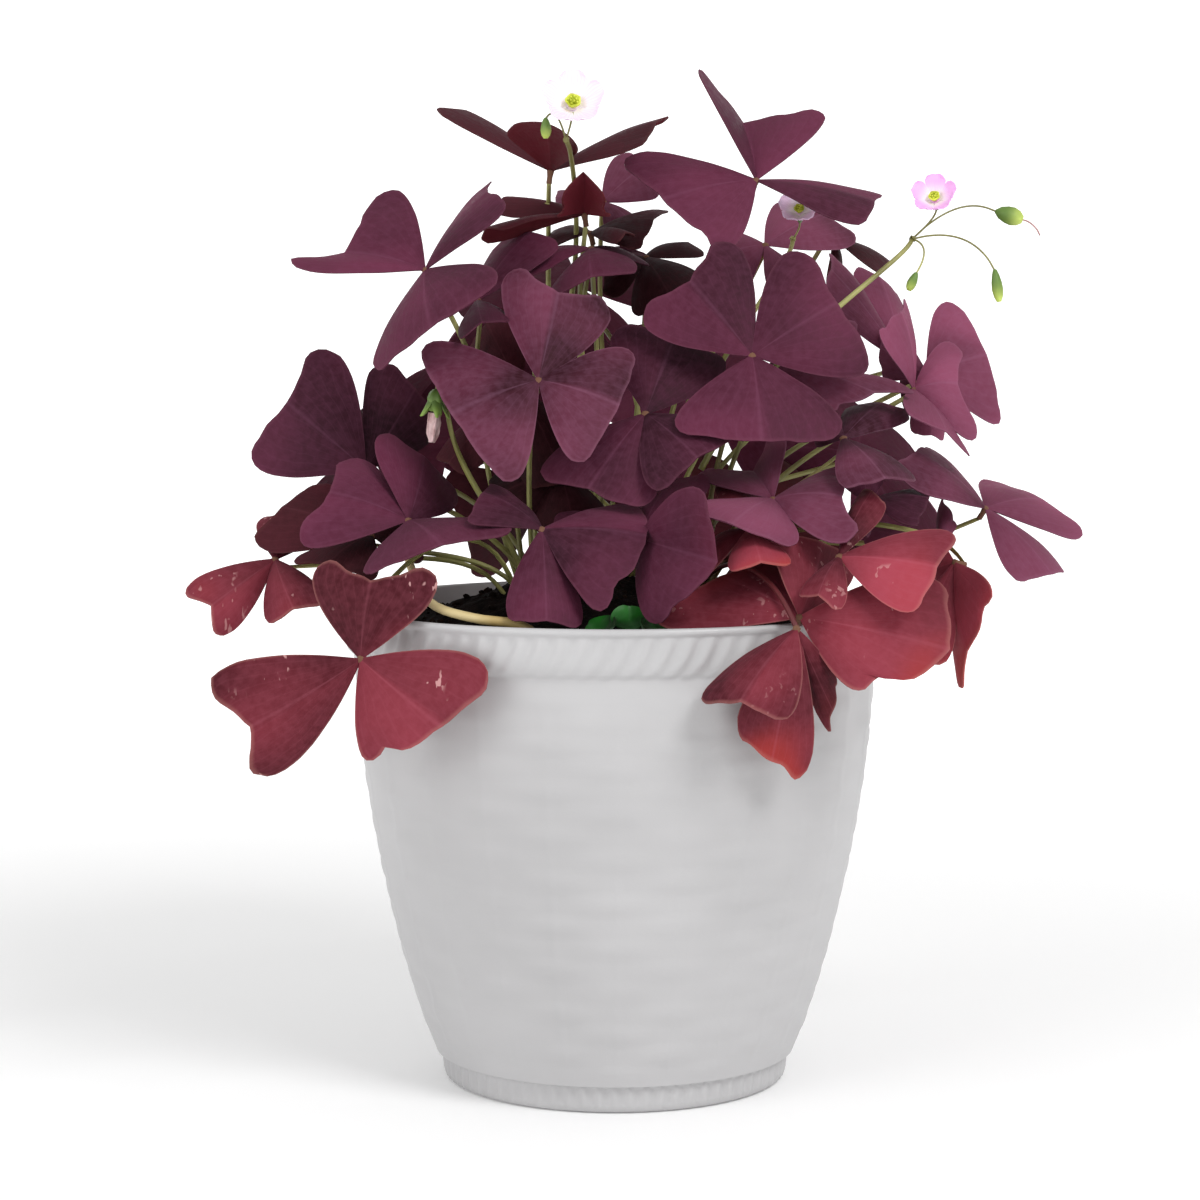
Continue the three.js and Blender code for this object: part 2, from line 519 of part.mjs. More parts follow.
// Each leaf is set back along the lines of sight until it lies behind those before it.
function layerLeaves(leaves) {
  const cell = 2;
  const behind = new Map();
  for (const leaf of leaves) {
    const own = new Map();
    for (const { a, b, c } of leafSheet(leaf)) {
      const steps = Math.ceil(Math.max(a.distanceTo(b), b.distanceTo(c), c.distanceTo(a)) / 1.5);
      for (let i = 0; i <= steps; i += 1) {
        for (let j = 0; j <= steps - i; j += 1) {
          const [u, v] = [i / steps, j / steps];
          const point = a.clone().multiplyScalar(1 - u - v).addScaledVector(b, u).addScaledVector(c, v);
          const depth = (point.y - EYE.y) / -EYE.y;
          const seen = point.sub(EYE).divideScalar(depth).add(EYE);
          const key = `${Math.round(seen.x / cell)},${Math.round(seen.z / cell)}`;
          const range = own.get(key) ?? [depth, depth];
          own.set(key, [Math.min(range[0], depth), Math.max(range[1], depth)]);
        }
      }
    }
    let scale = 1;
    for (const [key, [near]] of own) {
      const front = behind.get(key);
      if (front !== undefined) scale = Math.max(scale, (front + LAYER_GAP / -EYE.y) / near);
    }
    moveAlongSight(leaf, scale);
    for (const [key, [, far]] of own) {
      behind.set(key, Math.max(behind.get(key) ?? 0, far * scale));
    }
  }
}

// ---------------------------------------------------------------- stalks
const UP = new THREE.Vector3(0, 0, 1);

function nearPot(point, radius) {
  const out = Math.hypot(point.x, point.y);
  if (out > RIM_RADIUS - 8 && out < RIM_RADIUS + 3 + radius) return point.z < POT_HEIGHT + 1.5 + radius;
  if (out >= RIM_RADIUS + 3 + radius) return false;
  return point.z < soilHeight(point.x, point.y) + 0.6 + radius;
}

function routeIsClear(points, radius, own) {
  for (const point of points) {
    for (const obstacle of obstacles) {
      const close = obstacle.leaf === own && point.distanceTo(own.hub) < 3 * HUB_DEPTH;
      const limit = radius + BLADE / 2 + (close ? 0.2 : 0.5);
      if (obstacle.ball.distanceToPoint(point) > limit) continue;
      for (const triangle of obstacle.sheet) {
        const closest = triangle.closestPointToPoint(point, new THREE.Vector3());
        if (closest.distanceTo(point) < limit) return false;
      }
    }
  }
  return true;
}

const TUBE_SHARES = [0, 0.1, 0.2, 0.3, 0.4, 0.5, 0.6, 0.7, 0.8, 0.9];

// Places along the straight lengths that a tube of so many steps is made of.
function tubePoints(curve, steps) {
  const ends = curve.getSpacedPoints(steps);
  return ends.slice(1).flatMap((end, i) => (
    TUBE_SHARES.map((share) => ends[i].clone().lerp(end, share)))).concat([ends[steps]]);
}

// A stalk leaves its crown upwards and meets its tip along `approach`. It bows the least that
// keeps it clear of every blade, of the pot and of stalks from other crowns.
function stalkRoute(root, tip, approach, radius, steps, own, others, mates) {
  const span = tip.distanceTo(root);
  const side = new THREE.Vector3().crossVectors(tip.clone().sub(root), UP).normalize();
  const rise = new THREE.Vector3().crossVectors(side, tip.clone().sub(root)).normalize();
  const meets = (points, list) => (
    points.some((point) => list.some((other) => other.distanceTo(point) < 2 * radius + STALK_SPACE)));
  let best = null;
  let touching = null;
  for (const bow of [0, 6, 12, 20, 30, 42, 56, 70]) {
    for (let turn = 0; turn < (bow === 0 ? 1 : 16); turn += 1) {
      for (const lead of [0.1, 0.2, 0.3, 0.45]) {
        const angle = (turn / 16) * 2 * Math.PI;
        const offset = side.clone().multiplyScalar(bow * Math.sin(angle))
          .addScaledVector(rise, bow * Math.cos(angle));
        const start = root.clone().addScaledVector(UP, 0.42 * span).addScaledVector(offset, 0.8);
        const end = tip.clone().addScaledVector(approach, -lead * span).addScaledVector(offset, 0.5);
        const curve = new THREE.CubicBezierCurve3(root, start, end, tip);
        const points = tubePoints(curve, steps);
        const away = points.filter((point) => point.distanceTo(root) > 30);
        if (away.some((point) => nearPot(point, radius))) continue;
        if (meets(away, others)) continue;
        best ??= curve;
        if (touching && meets(away, mates)) continue;
        if (!routeIsClear(points.slice(4), radius, own)) continue;
        if (!meets(away, mates)) return { curve, clear: true };
        touching ??= curve;
      }
    }
  }
  return touching ? { curve: touching, clear: true } : { curve: best, clear: false };
}

function crownSolid([x, y]) {
  const top = soilHeight(x, y);
  const profile = [[0, -CROWN_SINK], [CROWN_RADIUS, -CROWN_SINK], [CROWN_RADIUS, 0], [0, 2]];
  return toSolid(turned(profile, CROWN_SIDES).translate(x, y, top));
}

const frontLeaves = FRONT_LEAVES.map(frontLeaf);
layerLeaves(frontLeaves);
const leaves = [...frontLeaves, ...BACK_LEAVES.map(backLeaf)];

const obstacles = leaves.map((leaf) => {
  const sheet = leafSheet(leaf);
  const ball = new THREE.Sphere().setFromPoints(sheet.flatMap(({ a, b, c }) => [a, b, c]));
  return { leaf, sheet, ball };
});

// Stalks that are bent over the pot's rim go by these points.
const STALK_BY = {
  leaf_27: [[-6, 33, 200], [-12, 30, 245], [-12, 26.5, 270]],
  leaf_14: [[-40, -34, 182], [-62, -52, 178], [-75, -58, 166], [-77.5, -62, 150]],
  leaf_01: [[30, -42, 172], [45, -66, 173], [53, -76, 162]],
  leaf_13: [[44, -30, 168], [66, -44, 167], [71, -58, 163.5], [62, -69, 157.5]],
};

// Stalks stand on a crown in a spiral of places; each takes the free one nearest its own side.
const CROWN_PLACES = 20;
const takenPlaces = CROWNS.map(() => new Set());
const stalkSolids = CROWNS.map((crown) => [crownSolid(crown)]);
const stalkPoints = CROWNS.map(() => []);

function crownPlaces([x, y]) {
  return Array.from({ length: CROWN_PLACES }, (unused, i) => {
    const out = 0.82 * CROWN_RADIUS * Math.sqrt((i + 0.5) / CROWN_PLACES);
    const angle = i * GOLDEN_ANGLE;
    return new THREE.Vector3(x + out * Math.cos(angle), y + out * Math.sin(angle), soilHeight(x, y) - 1);
  });
}

function freePlace(crown, toward) {
  const [x, y] = CROWNS[crown];
  const wish = new THREE.Vector3(toward.x - x, toward.y - y, 0).clampLength(0, 0.6 * CROWN_RADIUS);
  wish.add(new THREE.Vector3(x, y, soilHeight(x, y) - 1));
  const places = crownPlaces(CROWNS[crown]).map((place, i) => ({ place, i }));
  const free = places.filter(({ i }) => !takenPlaces[crown].has(i));
  free.sort((a, b) => a.place.distanceTo(wish) - b.place.distanceTo(wish));
  return free[0];
}

// Grows a stalk from the nearest crown that has a clear way to its tip; gives that crown.
function growStalk(tip, approach, radius, own, steps) {
  const distance = ([x, y]) => Math.hypot(x - 0.45 * tip.x, y - 0.45 * tip.y);
  const order = CROWNS.map((unused, i) => i).sort((a, b) => distance(CROWNS[a]) - distance(CROWNS[b]));
  let chosen = null;
  for (const crown of order) {
    const { place, i } = freePlace(crown, tip);
    const others = stalkPoints.flatMap((points, at) => (at === crown ? [] : points));
    const by = own && STALK_BY[own.name];
    const route = by
      ? { curve: new THREE.CatmullRomCurve3([place, ...by.map((at) => new THREE.Vector3(...at)), tip]), clear: true }
      : stalkRoute(place, tip, approach, radius, steps, own, others, stalkPoints[crown]);
    if (route.curve && (route.clear || !chosen)) chosen = { ...route, crown, i };
    if (route.clear) break;
  }
  takenPlaces[chosen.crown].add(chosen.i);
  stalkPoints[chosen.crown].push(...tubePoints(chosen.curve, steps));
  stalkSolids[chosen.crown].push(toSolid(tube(chosen.curve, radius, STALK_SIDES, steps)));
  return chosen.crown;
}

leaves.forEach((leaf) => {
  if (leaf.name === BENT_STALK.leaf) return;
  const normal = leafNormal(leaf);
  const tip = leaf.hub.clone().addScaledVector(normal, -HUB_DEPTH - 2 * GAP);
  growStalk(tip, normal, PETIOLE_RADIUS, leaf, LEAF_STALK_STEPS);
});

// One old stalk lies along the rim's inner side and turns up to its leaf.
function bentStalk() {
  const leaf = leaves.find(({ name }) => name === BENT_STALK.leaf);
  const normal = leafNormal(leaf);
  const tip = leaf.hub.clone().addScaledVector(normal, -HUB_DEPTH - 2 * GAP);
  const points = BENT_STALK.by.map((place) => new THREE.Vector3(...place));
  const curve = new THREE.CatmullRomCurve3([...points, tip.clone().addScaledVector(normal, -6), tip]);
  return toGeometry(toSolid(tube(curve, THICK_PETIOLE_RADIUS, 6, 14)));
}

// ---------------------------------------------------------------- flowers
// A petal's rows: share of its rise, half width, reach from the flower's axis.
const PETAL_ROWS = [[0, 0.7, 1.2], [0.65, 4, 7], [1, 2.6, 10.4]];
const PETAL = 0.7; // petal thickness
const THROAT = 1.8; // depth of the tube that the petals grow from
const CALYX = 3; // length of the green cup behind a flower

// Five petals flare from a narrow tube; `axis` points out of the flower's mouth.
function bloomSolid(base, axis, size) {
  const side = new THREE.Vector3().crossVectors(axis, UP).normalize();
  const top = new THREE.Vector3().crossVectors(side, axis).normalize();
  const throat = turned([[0, 0], [1.4, 0], [2.1, THROAT], [0, THROAT]], 5).scale(size, size, size);
  const solids = [toSolid(placed(throat, base, axis))];
  for (let petal = 0; petal < 5; petal += 1) {
    const angle = ((petal + 0.25) / 5) * 2 * Math.PI;
    const out = side.clone().multiplyScalar(Math.cos(angle)).addScaledVector(top, Math.sin(angle));
    const across = new THREE.Vector3().crossVectors(axis, out);
    const facing = axis.clone().addScaledVector(out, -0.9).normalize();
    const upper = [];
    const lower = [];
    for (const [rise, half, reach] of PETAL_ROWS) {
      for (const edge of [-1, 0, 1]) {
        const point = base.clone()
          .addScaledVector(axis, size * (0.9 + 6.2 * rise + 0.5 * Math.abs(edge)))
          .addScaledVector(out, size * (reach - 0.2 * half * Math.abs(edge)))
          .addScaledVector(across, size * half * edge);
        upper.push(point.clone().addScaledVector(facing, PETAL / 2));
        lower.push(point.clone().addScaledVector(facing, -PETAL / 2));
      }
    }
    const faces = [];
    for (let row = 0; row < PETAL_ROWS.length - 1; row += 1) {
      for (const column of [0, 1]) {
        const at = 3 * row + column;
        faces.push([at, at + 4, at + 1], [at, at + 3, at + 4]);
      }
    }
    const rim = [0, 3, 6, 7, 8, 5, 2, 1];
    solids.push(toSolid(slab(upper, lower, faces, rim)));
  }
  return fuse(solids);
}

function bloomCentre(base, axis, size) {
  const foot = THROAT + GAP / size;
  const profile = [[0, foot], [0.6, foot], [2, 4.2], [1.5, 5.4], [0, 5.6]];
  return toSolid(placed(turned(profile, 6).scale(size, size, size), base, axis));
}

function bud(position, direction, length, radius) {
  const profile = [[0, 0], [radius, length * 0.4], [radius * 0.7, length * 0.8], [0, length]];
  return toSolid(placed(turned(profile, 6), position, direction));
}

function pedicel(from, over, to, radius) {
  return toSolid(tube(new THREE.QuadraticBezierCurve3(from, over, to), radius, 4, 4));
}

// The umbels: where each stalk ends, its bloom, and its buds. Places are x, z, depth.
const UMBELS = [
  { name: 'bloom_1', joint: [-16, 308, -26],
    bloom: { centre: [-13.6, 320.7, -36], axis: [0.05, -0.85, 0.5], size: 1 },
    buds: [{ over: [-19, 320, -28], at: [-22.6, 315, -30], toward: [0, 0, -1], length: 6, radius: 1.7 }] },
  { name: 'bloom_2', joint: [97, 276, 4],
    bloom: { centre: [104, 290, -2], axis: [-0.2, -0.8, 0.55], size: 0.75 },
    buds: [
      { over: [112, 291, 10], at: [124, 285, 14], toward: [0.95, 0, -0.3], length: 9, radius: 2.2 },
      { over: [116, 281, -4], at: [124, 266, -6], toward: [0.15, 0, -0.99], length: 10, radius: 1.7 },
      { over: [104, 274, 0], at: [98.5, 265, -2], toward: [-0.4, 0, -0.9], length: 6, radius: 1.6 }] },
  { name: 'bloom_3', joint: [58, 276, 34],
    bloom: { centre: [60, 286, 24], axis: [-0.1, -0.8, 0.6], size: 0.7 }, buds: [] },
];
const PEDICEL_RADIUS = 0.6;
const FLOWER_STALK_RADIUS = 1.1;

const blooms = [];
for (const { name, joint, bloom, buds } of UMBELS) {
  const top = onSight(...joint);
  const crown = growStalk(top, UP, FLOWER_STALK_RADIUS, null, FLOWER_STALK_STEPS);
  const axis = new THREE.Vector3(...bloom.axis).normalize();
  const base = onSight(...bloom.centre).addScaledVector(axis, -4.5 * bloom.size);
  const cup = base.clone().addScaledVector(axis, -(CALYX + GAP));
  const bend = cup.clone().addScaledVector(axis, -5);
  const calyx = turned([[0, -0.6], [0.9, -0.4], [1.9 * bloom.size, CALYX], [0, CALYX]], 6);
  stalkSolids[crown].push(
    toSolid(new THREE.SphereGeometry(1.6, 5, 3).translate(top.x, top.y, top.z)),
    pedicel(top, bend, cup, PEDICEL_RADIUS), toSolid(placed(calyx, cup, axis)));
  for (const { over, at, toward, length, radius } of buds) {
    const hang = onSight(...at);
    const direction = new THREE.Vector3(...toward).normalize();
    stalkSolids[crown].push(
      pedicel(top, onSight(...over), hang.clone().addScaledVector(direction, 0.5), PEDICEL_RADIUS),
      bud(hang, direction, length, radius));
  }
  blooms.push({ name, petals: bloomSolid(base, axis, bloom.size), centre: bloomCentre(base, axis, bloom.size) });
}

// A spent flower nods on its own stalk, with withered petals hanging from a green cup.
const SPENT = { top: [-56, 235, -22], hang: [-58.5, 227, -24], cup: 8, cupRadius: 3, petals: 9 };
const spentTop = onSight(...SPENT.top);
const spentCrown = growStalk(spentTop, UP, FLOWER_STALK_RADIUS, null, FLOWER_STALK_STEPS);
const spentHang = onSight(...SPENT.hang);
const down = new THREE.Vector3(-0.1, 0, -1).normalize();
const spentCup = turned([[0, 0], [1.6, 0.8], [SPENT.cupRadius, 4], [2.2, SPENT.cup], [0, SPENT.cup]], 7);
stalkSolids[spentCrown].push(
  pedicel(spentTop, spentTop.clone().addScaledVector(UP, 3).add(new THREE.Vector3(-3, 0, 0)),
    spentHang.clone().addScaledVector(down, 0.6), PEDICEL_RADIUS + 0.2),
  toSolid(placed(spentCup, spentHang, down)));

function spentPetals() {
  const start = spentHang.clone().addScaledVector(down, SPENT.cup + GAP);
  const profile = [[0, 0], [1.8, 0], [2.3, SPENT.petals * 0.5], [0.9, SPENT.petals], [0, SPENT.petals]];
  return toSolid(placed(turned(profile, 7), start, down));
}

// ---------------------------------------------------------------- seedling
// A green seedling with three rounded leaves: each is its middle and how it faces.
const SEEDLING_LEAVES = [
  { middle: [-7, -66, 158.5], facing: [-0.35, -0.5, 0.8], radius: 6.5 },
  { middle: [4, -64, 162], facing: [0, -0.6, 0.8], radius: 7.5 },
  { middle: [14, -67, 158], facing: [0.35, -0.45, 0.8], radius: 6.5 },
];

function seedling() {
  const { x, y } = SEEDLING_ROOT;
  const foot = new THREE.Vector3(x, y, soilHeight(x, y) - SEEDLING_DEPTH);
  const fork = new THREE.Vector3(x, y, 156);
  const solids = [toSolid(tube(new THREE.LineCurve3(foot, fork.clone().addScaledVector(UP, 0.6)), SEEDLING_STEM, 6, 1))];
  for (const { middle, facing, radius } of SEEDLING_LEAVES) {
    const centre = new THREE.Vector3(...middle);
    const normal = new THREE.Vector3(...facing).normalize();
    const disc = turned([[0, -0.5], [radius, 0], [0, 0.8]], 9);
    solids.push(toSolid(placed(disc, centre, normal)), pedicel(fork, fork.clone().lerp(centre, 0.5), centre, 0.8));
  }
  return toGeometry(fuse(solids));
}

// ---------------------------------------------------------------- the plant in its pot
addMesh('pot', pot(), 'pot');
addMesh('soil', soil(), 'soil');
leaves.forEach((leaf) => addMesh(leaf.name, leafGeometry(leaf), leaf.finish));
stalkSolids.forEach((solids, i) => addMesh(`stalks_${i + 1}`, toGeometry(fuse(solids)), 'stalk'));
addMesh('bent_stalk', bentStalk(), 'stalk');
for (const { name, petals, centre } of blooms) {
  addMesh(`${name}_petals`, toGeometry(petals), 'petal');
  addMesh(`${name}_centre`, toGeometry(centre), 'centre');
}
addMesh('spent_petals', toGeometry(spentPetals()), 'petal');
addMesh('seedling', seedling(), 'seedling');

export default plant;
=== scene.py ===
import math
import random

import bmesh
import bpy
from mathutils import Matrix, Vector, noise


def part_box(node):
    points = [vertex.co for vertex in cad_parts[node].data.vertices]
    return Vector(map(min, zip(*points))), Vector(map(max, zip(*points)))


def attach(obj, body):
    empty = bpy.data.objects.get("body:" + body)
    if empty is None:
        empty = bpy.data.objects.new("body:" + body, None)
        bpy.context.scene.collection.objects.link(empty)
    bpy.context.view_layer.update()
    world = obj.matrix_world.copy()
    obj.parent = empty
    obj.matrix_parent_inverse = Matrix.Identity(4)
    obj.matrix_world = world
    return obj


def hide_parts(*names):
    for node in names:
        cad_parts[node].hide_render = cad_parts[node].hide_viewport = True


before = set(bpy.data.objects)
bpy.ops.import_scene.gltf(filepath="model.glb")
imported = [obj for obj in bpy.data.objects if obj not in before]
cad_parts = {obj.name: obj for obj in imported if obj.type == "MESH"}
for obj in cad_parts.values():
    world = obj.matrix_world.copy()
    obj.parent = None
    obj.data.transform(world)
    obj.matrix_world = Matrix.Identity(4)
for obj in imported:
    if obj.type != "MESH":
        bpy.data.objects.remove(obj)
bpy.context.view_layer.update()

MM = 0.001  # metres
MERGE = 0.01 * MM  # corners nearer than this become one
UP = Vector((0, 0, 1))
FULL_TURN = 2 * math.pi

# ------------------------------------------------------------------ the pot's measures
RIM_RADIUS = 90
WALL = 3
FLOOR = 4
FOOT_RADIUS = 56.5
FOOT_INSIDE = 52
FOOT_HEIGHT = 9
FOOT_RIBS = 72
FOOT_RIB_DEPTH = 0.45
FOOT_RIB_TOP = 8.6
FOOT_RIB_END = 1.5  # the length over which a rib dies out
WALL_ROWS = [(9, 59.5), (24.5, 65.3), (48, 72), (78, 78.6), (108, 83.2), (141, 86)]  # height, radius
WALL_STEP = 1.5
STAKES = 24
WEAVER_PITCH = 7.2
WEAVE_DEPTH = 0.75
BAND_BOTTOM = 141
ROPE_BOTTOM, ROPE_TOP = 142, 154
ROPE_FLUTES = 86
FLUTE_DEPTH = 0.85
POT_COLUMNS = 8 * ROPE_FLUTES
PLATE_UNDERSIDE = 0.8
DRAINS = 4
DRAIN_RADIUS = 4
DRAIN_RING = 34

# ------------------------------------------------------------------ the soil's measures
SOIL_EDGE = 146
SOIL_CROWN = 157
SOIL_FOOT = FLOOR + 0.3
SOIL_RINGS, SOIL_SIDES = 46, 180
CROWNS = [(-24, -12), (22, -20), (2, 26)]
CROWN_RADIUS = 11
CROWN_RISE = 2
SEEDLING_ROOT = (4, -68)
# Heaps on the soil: x, y, height, and how widely they spread.
HEAPS = [*[(x, y, 3.4, 300) for x, y in CROWNS], (-16, 5, 9, 700)]
CRUMBS = 420
CRUMB_SEED = 11

# ------------------------------------------------------------------ the leaves' measures
FOLD = 2.2  # how far a leaflet's midrib stands out of the plane of its shoulders
BLADE_ARCH = 1.6  # how high a blade arches between its hub and its end
BLADE_SWELL = 0.7  # how far a half blade swells between its midrib and its margin
FOLDED_PUFF = 2.4  # how much more it swells in a leaflet that is folded shut
BLADE_FOOT = 0.4  # a half blade's width at its hub
BLADE_WAVES = 1.5  # how far its surface waves
SHOULDER_DROP = 0.8  # how far its shoulders hang
MARGIN_NICKS = 0.03  # how unevenly its margin is cut, as a share of its size
BLADE_THICKNESS = 0.45
KNOT_DEPTH = 4.2  # how far a leaf's knot reaches down to its stalk
KNOT_RADIUS = 0.95
KNOT_RINGS = [(2.2, 0.95), (1.4, 1.25), (0.8, 1.15), (0.45, 0.5)]  # rise, and size against the last
ROWS, COLUMNS = 16, 9  # a half blade's grid: hub to end, and midrib to margin
EYE = Vector((-5, -990, 249))  # where the front elevation is seen from

# Each front leaf: name, finish, hub (x, z, depth), then three leaflets: two shoulders as x, z on
# the elevation and depth from the hub, then how far the notch stands out or the notch's place.
FRONT_LEAVES = [
    ("leaf_01", "crimson", (60, 148, -86),
     (30, 126, -4, 56, 120, -20, 0.95), (42, 115, 3, 63, 102, 5, 1), (73, 131, 7, 69, 117, 12, 1)),
    ("leaf_02", "mauve", (-25, 230, -35),
     (-34, 264, 20, -3, 254, 20, 0.85), (-62, 239, 8, -37, 199, -18, 1.05),
     (5, 238, 10, -10, 205, -14, 1.05)),
    ("leaf_03", "aubergine", (45, 238, -30),
     (37, 274, 18, 10, 251, 10, 0.88), (60, 271, 16, 82, 236, 4, 0.95), (23, 214, -16, 72, 213, -14, 1.1)),
    ("leaf_04", "aubergine", (10, 219, -40),
     (3, 246, 22, 34, 236, 20, 0.95), (-22, 200, -8, 8, 190, -18, 1), (15, 196, -22, 37, 212, -12, 1)),
    ("leaf_05", "mauve", (52, 236, -8),
     (71, 222, -14, 94, 228, -6, 1), (62, 256, 22, 78, 246, 18, 0.9), (42, 224, -6, 50, 212, -12, 0.9)),
    ("leaf_06", "mauve", (98, 227, 0),
     (96, 253, 20, 88, 246, -4, 1), (111, 242, 18, 118, 212, -10, 0.75), (116, 206, -12, 97, 219, -24, 1)),
    ("leaf_07", "mauve", (75, 211, -30),
     (78, 222, 26, 96, 218, 24, 0.95), (76, 196, -26, 98, 199, -22, 1.05), (70, 220, 18, 66, 209, 10, 1)),
    ("leaf_08", "aubergine", (-24, 181, -58),
     (-38, 195, 22, -47, 185, -2, 1), (7, 188, 16, -3, 158, -18, 8, 179, -1),
     (-34, 153, -18, -12, 151, -16, 1)),
    ("leaf_09", "aubergine", (8, 178, -50),
     (16, 154, -26, 28, 190, -28, 32, 171, -30), (10, 193, 26, 29, 197, 22, 0.95),
     (-16, 186, 22, -20, 172, 12, 1)),
    ("leaf_10", "mauve", (52, 191, -50),
     (29, 200, 24, 53, 212, 26, 46, 199.5, 20), (73, 200, 8, 76, 179, -28, 0.95),
     (26, 188, -18, 56, 177, -30, 1.15)),
    ("leaf_11", "crimson", (44, 181, -62),
     (39, 168, -22, 57, 170, -22, 1), (28, 166, -8, 33, 178, 8, 1), (34, 195, 34, 50, 194, 36, 1)),
    ("leaf_12", "crimson", (74, 172, -78),
     (110, 179, -4, 98, 156, -16, 1), (80, 192, 24, 88, 188, 16, 1), (62, 160, -8, 74, 156, -16, 0.95)),
    ("leaf_13", "crimson", (61, 152, -84),
     (16, 154, 12, 58, 171, 24, 1), (55, 178, 14, 77, 170, 28, 1),
     (83, 131, -12, 106, 161, 2, 107, 142, -6)),
    ("leaf_14", "crimson", (-84, 138, -72),
     (-97, 168, 14, -61, 165, 4, 0.82), (-131, 131, -6, -115, 100, 4, 0.88),
     (-43, 133, -14, -80, 106, -8, 1.12)),
    ("leaf_15", "aubergine", (-68, 184, -52),
     (-87, 204, 20, -102, 179, -6, 0.88), (-76, 211, 22, -53, 193, 26, 1),
     (-79, 168, -24, -36, 181, -20, 1)),
    ("leaf_16", "brown", (-80, 179, -28),
     (-98, 195, 20, -116, 177, 6, 1), (-104, 171, -6, -82, 166, -16, 1), (-64, 172, -2, -66, 190, 12, 1)),
    ("leaf_17", "crimson", (-112, 171, -30),
     (-140, 162, -12, -129, 147, -14, 0.9), (-114, 151, -20, -97, 158, -22, 1),
     (-116, 184, 18, -98, 182, 20, 1)),
    ("leaf_18", "crimson", (112, 170, -40),
     (122, 158, -22, 114, 131, -6, 1.05), (108, 139, -14, 94, 141, -6, 1),
     (104, 176, 22, 107, 158, 14, 1)),
    ("leaf_19", "mauve", (122, 188, -8),
     (125, 197, 28, 153, 180, 8, 1), (133, 166, -22, 147, 169, -6, 1.05), (104, 208, 16, 95, 199, -18, 1)),
    ("leaf_20", "mauve", (102, 232, 14),
     (111, 254, 22, 126, 219, 6, 1.02), (90, 246, 16, 88, 232, 10, 1), (98, 214, -4, 108, 212, -2, 1)),
    ("leaf_21", "aubergine", (83, 190, -36),
     (102, 194, 12, 99, 184, -12, 1.05), (75, 183, -14, 83, 180, -16, 1), (74, 200, 16, 88, 204, 20, 1)),
    ("leaf_22", "mauve", (107, 174, -20),
     (107, 189, 18, 112, 183, 8, 1), (86, 184, 12, 84, 174, 4, 1), (116, 165, -2, 112, 158, 4, 1)),
    ("leaf_23", "aubergine", (-62, 266, -22),
     (-75, 291, 26, -103, 267, -2, -86, 271, 8), (-44, 292, 22, -37, 286, -8, 0.95),
     (-40, 262, -28, -78, 235, -16, 1.05)),
    ("leaf_24", "aubergine", (-82, 201, -36),
     (-95, 239, 12, -118, 205, 8, 0.93), (-77, 234, 20, -59, 215, 24, 1), (-92, 184, -8, -72, 184, -6, 1)),
    ("leaf_25", "aubergine", (-45, 256, -4),
     (-37, 275, 24, -20, 274, 12, 1), (-50, 245, -24, -36, 250, -22, 1), (-60, 262, 14, -62, 250, 4, 1)),
    ("leaf_26", "brown", (-21, 298, 10),
     (-55, 316, -12, -43, 314, 18, 0.95), (-34, 312, -26, -13, 308, -28, 1), (14, 314, 6, 8, 307, -16, 1)),
    ("leaf_27", "brown", (-10, 284, 0),
     (-18, 285, -8.5, -2.5, 284.5, -8.5, -10.3, 296.4, -14), (-31, 289, 22, -37, 285, 14, 1),
     (-36, 280, -16, -41, 276, -8, 1)),
    ("leaf_28", "brown", (-8, 278, 30),
     (15, 286, 12, 8, 274, -14, 1), (-21, 274, 4, -16, 279, 34, 1), (0, 275, -22, 6, 277, -18, 1)),
    ("leaf_29", "aubergine", (-8, 273, -2),
     (-19, 259, -24, 5, 266, -26, 1), (-31, 265, -12, -24, 271, 14, 1), (-2, 270, 26, 10, 268, 20, 1)),
    ("leaf_30", "mauve", (94, 236, 4),
     (73, 269, 8, 70, 256, -2, 1), (79, 264, 24, 93, 256, 26, 1), (104, 228, -6, 97, 220, -14, 1)),
    ("leaf_31", "aubergine", (46, 295, -10),
     (5, 302, 2, 34, 274, -22, 1.05), (28, 330, 12, 66, 317, 20, 42, 312, 24),
     (83, 291, 10, 79, 282, -14, 1)),
    ("leaf_32", "mauve", (49, 274, 8),
     (57, 288, 26, 77, 276, 18, 0.95), (70, 256, -12, 54, 256, -18, 1), (34, 277, 10, 39, 260, -8, 1)),
    ("leaf_33", "brown", (71, 276, 22),
     (88, 269, 16, 86, 266, -8, 1), (70, 262, -4, 73, 267, 16, 1), (60, 284, 14, 64, 290, -4, 1)),
    ("leaf_34", "brown", (-31, 228, -12),
     (-47, 239, 18, -33, 253, 20, 1), (-57, 207, 0, -47, 201, -6, 1), (-28, 197, -8, -8, 201, -4, 1)),
    ("leaf_35", "brown", (-18, 200, -20),
     (-40, 198, 4, -34, 184, -8, 1), (-24, 182, -10, -4, 184, -8, 1), (0, 208, 14, -14, 216, 18, 1)),
    ("leaf_36", "brown", (10, 270, -6),
     (8, 252, -20, 28, 262, -18, 1), (17, 274, 18, 28, 271, 12, 1), (-3, 269, 6, -1, 258, -14, 1)),
    ("leaf_37", "mauve", (-4, 288, 20),
     (2, 303, 18, 14, 291, 10, 1), (-16, 292, 20, -18, 284, 12, 1), (0, 276, -10, 10, 280, 4, 1)),
]

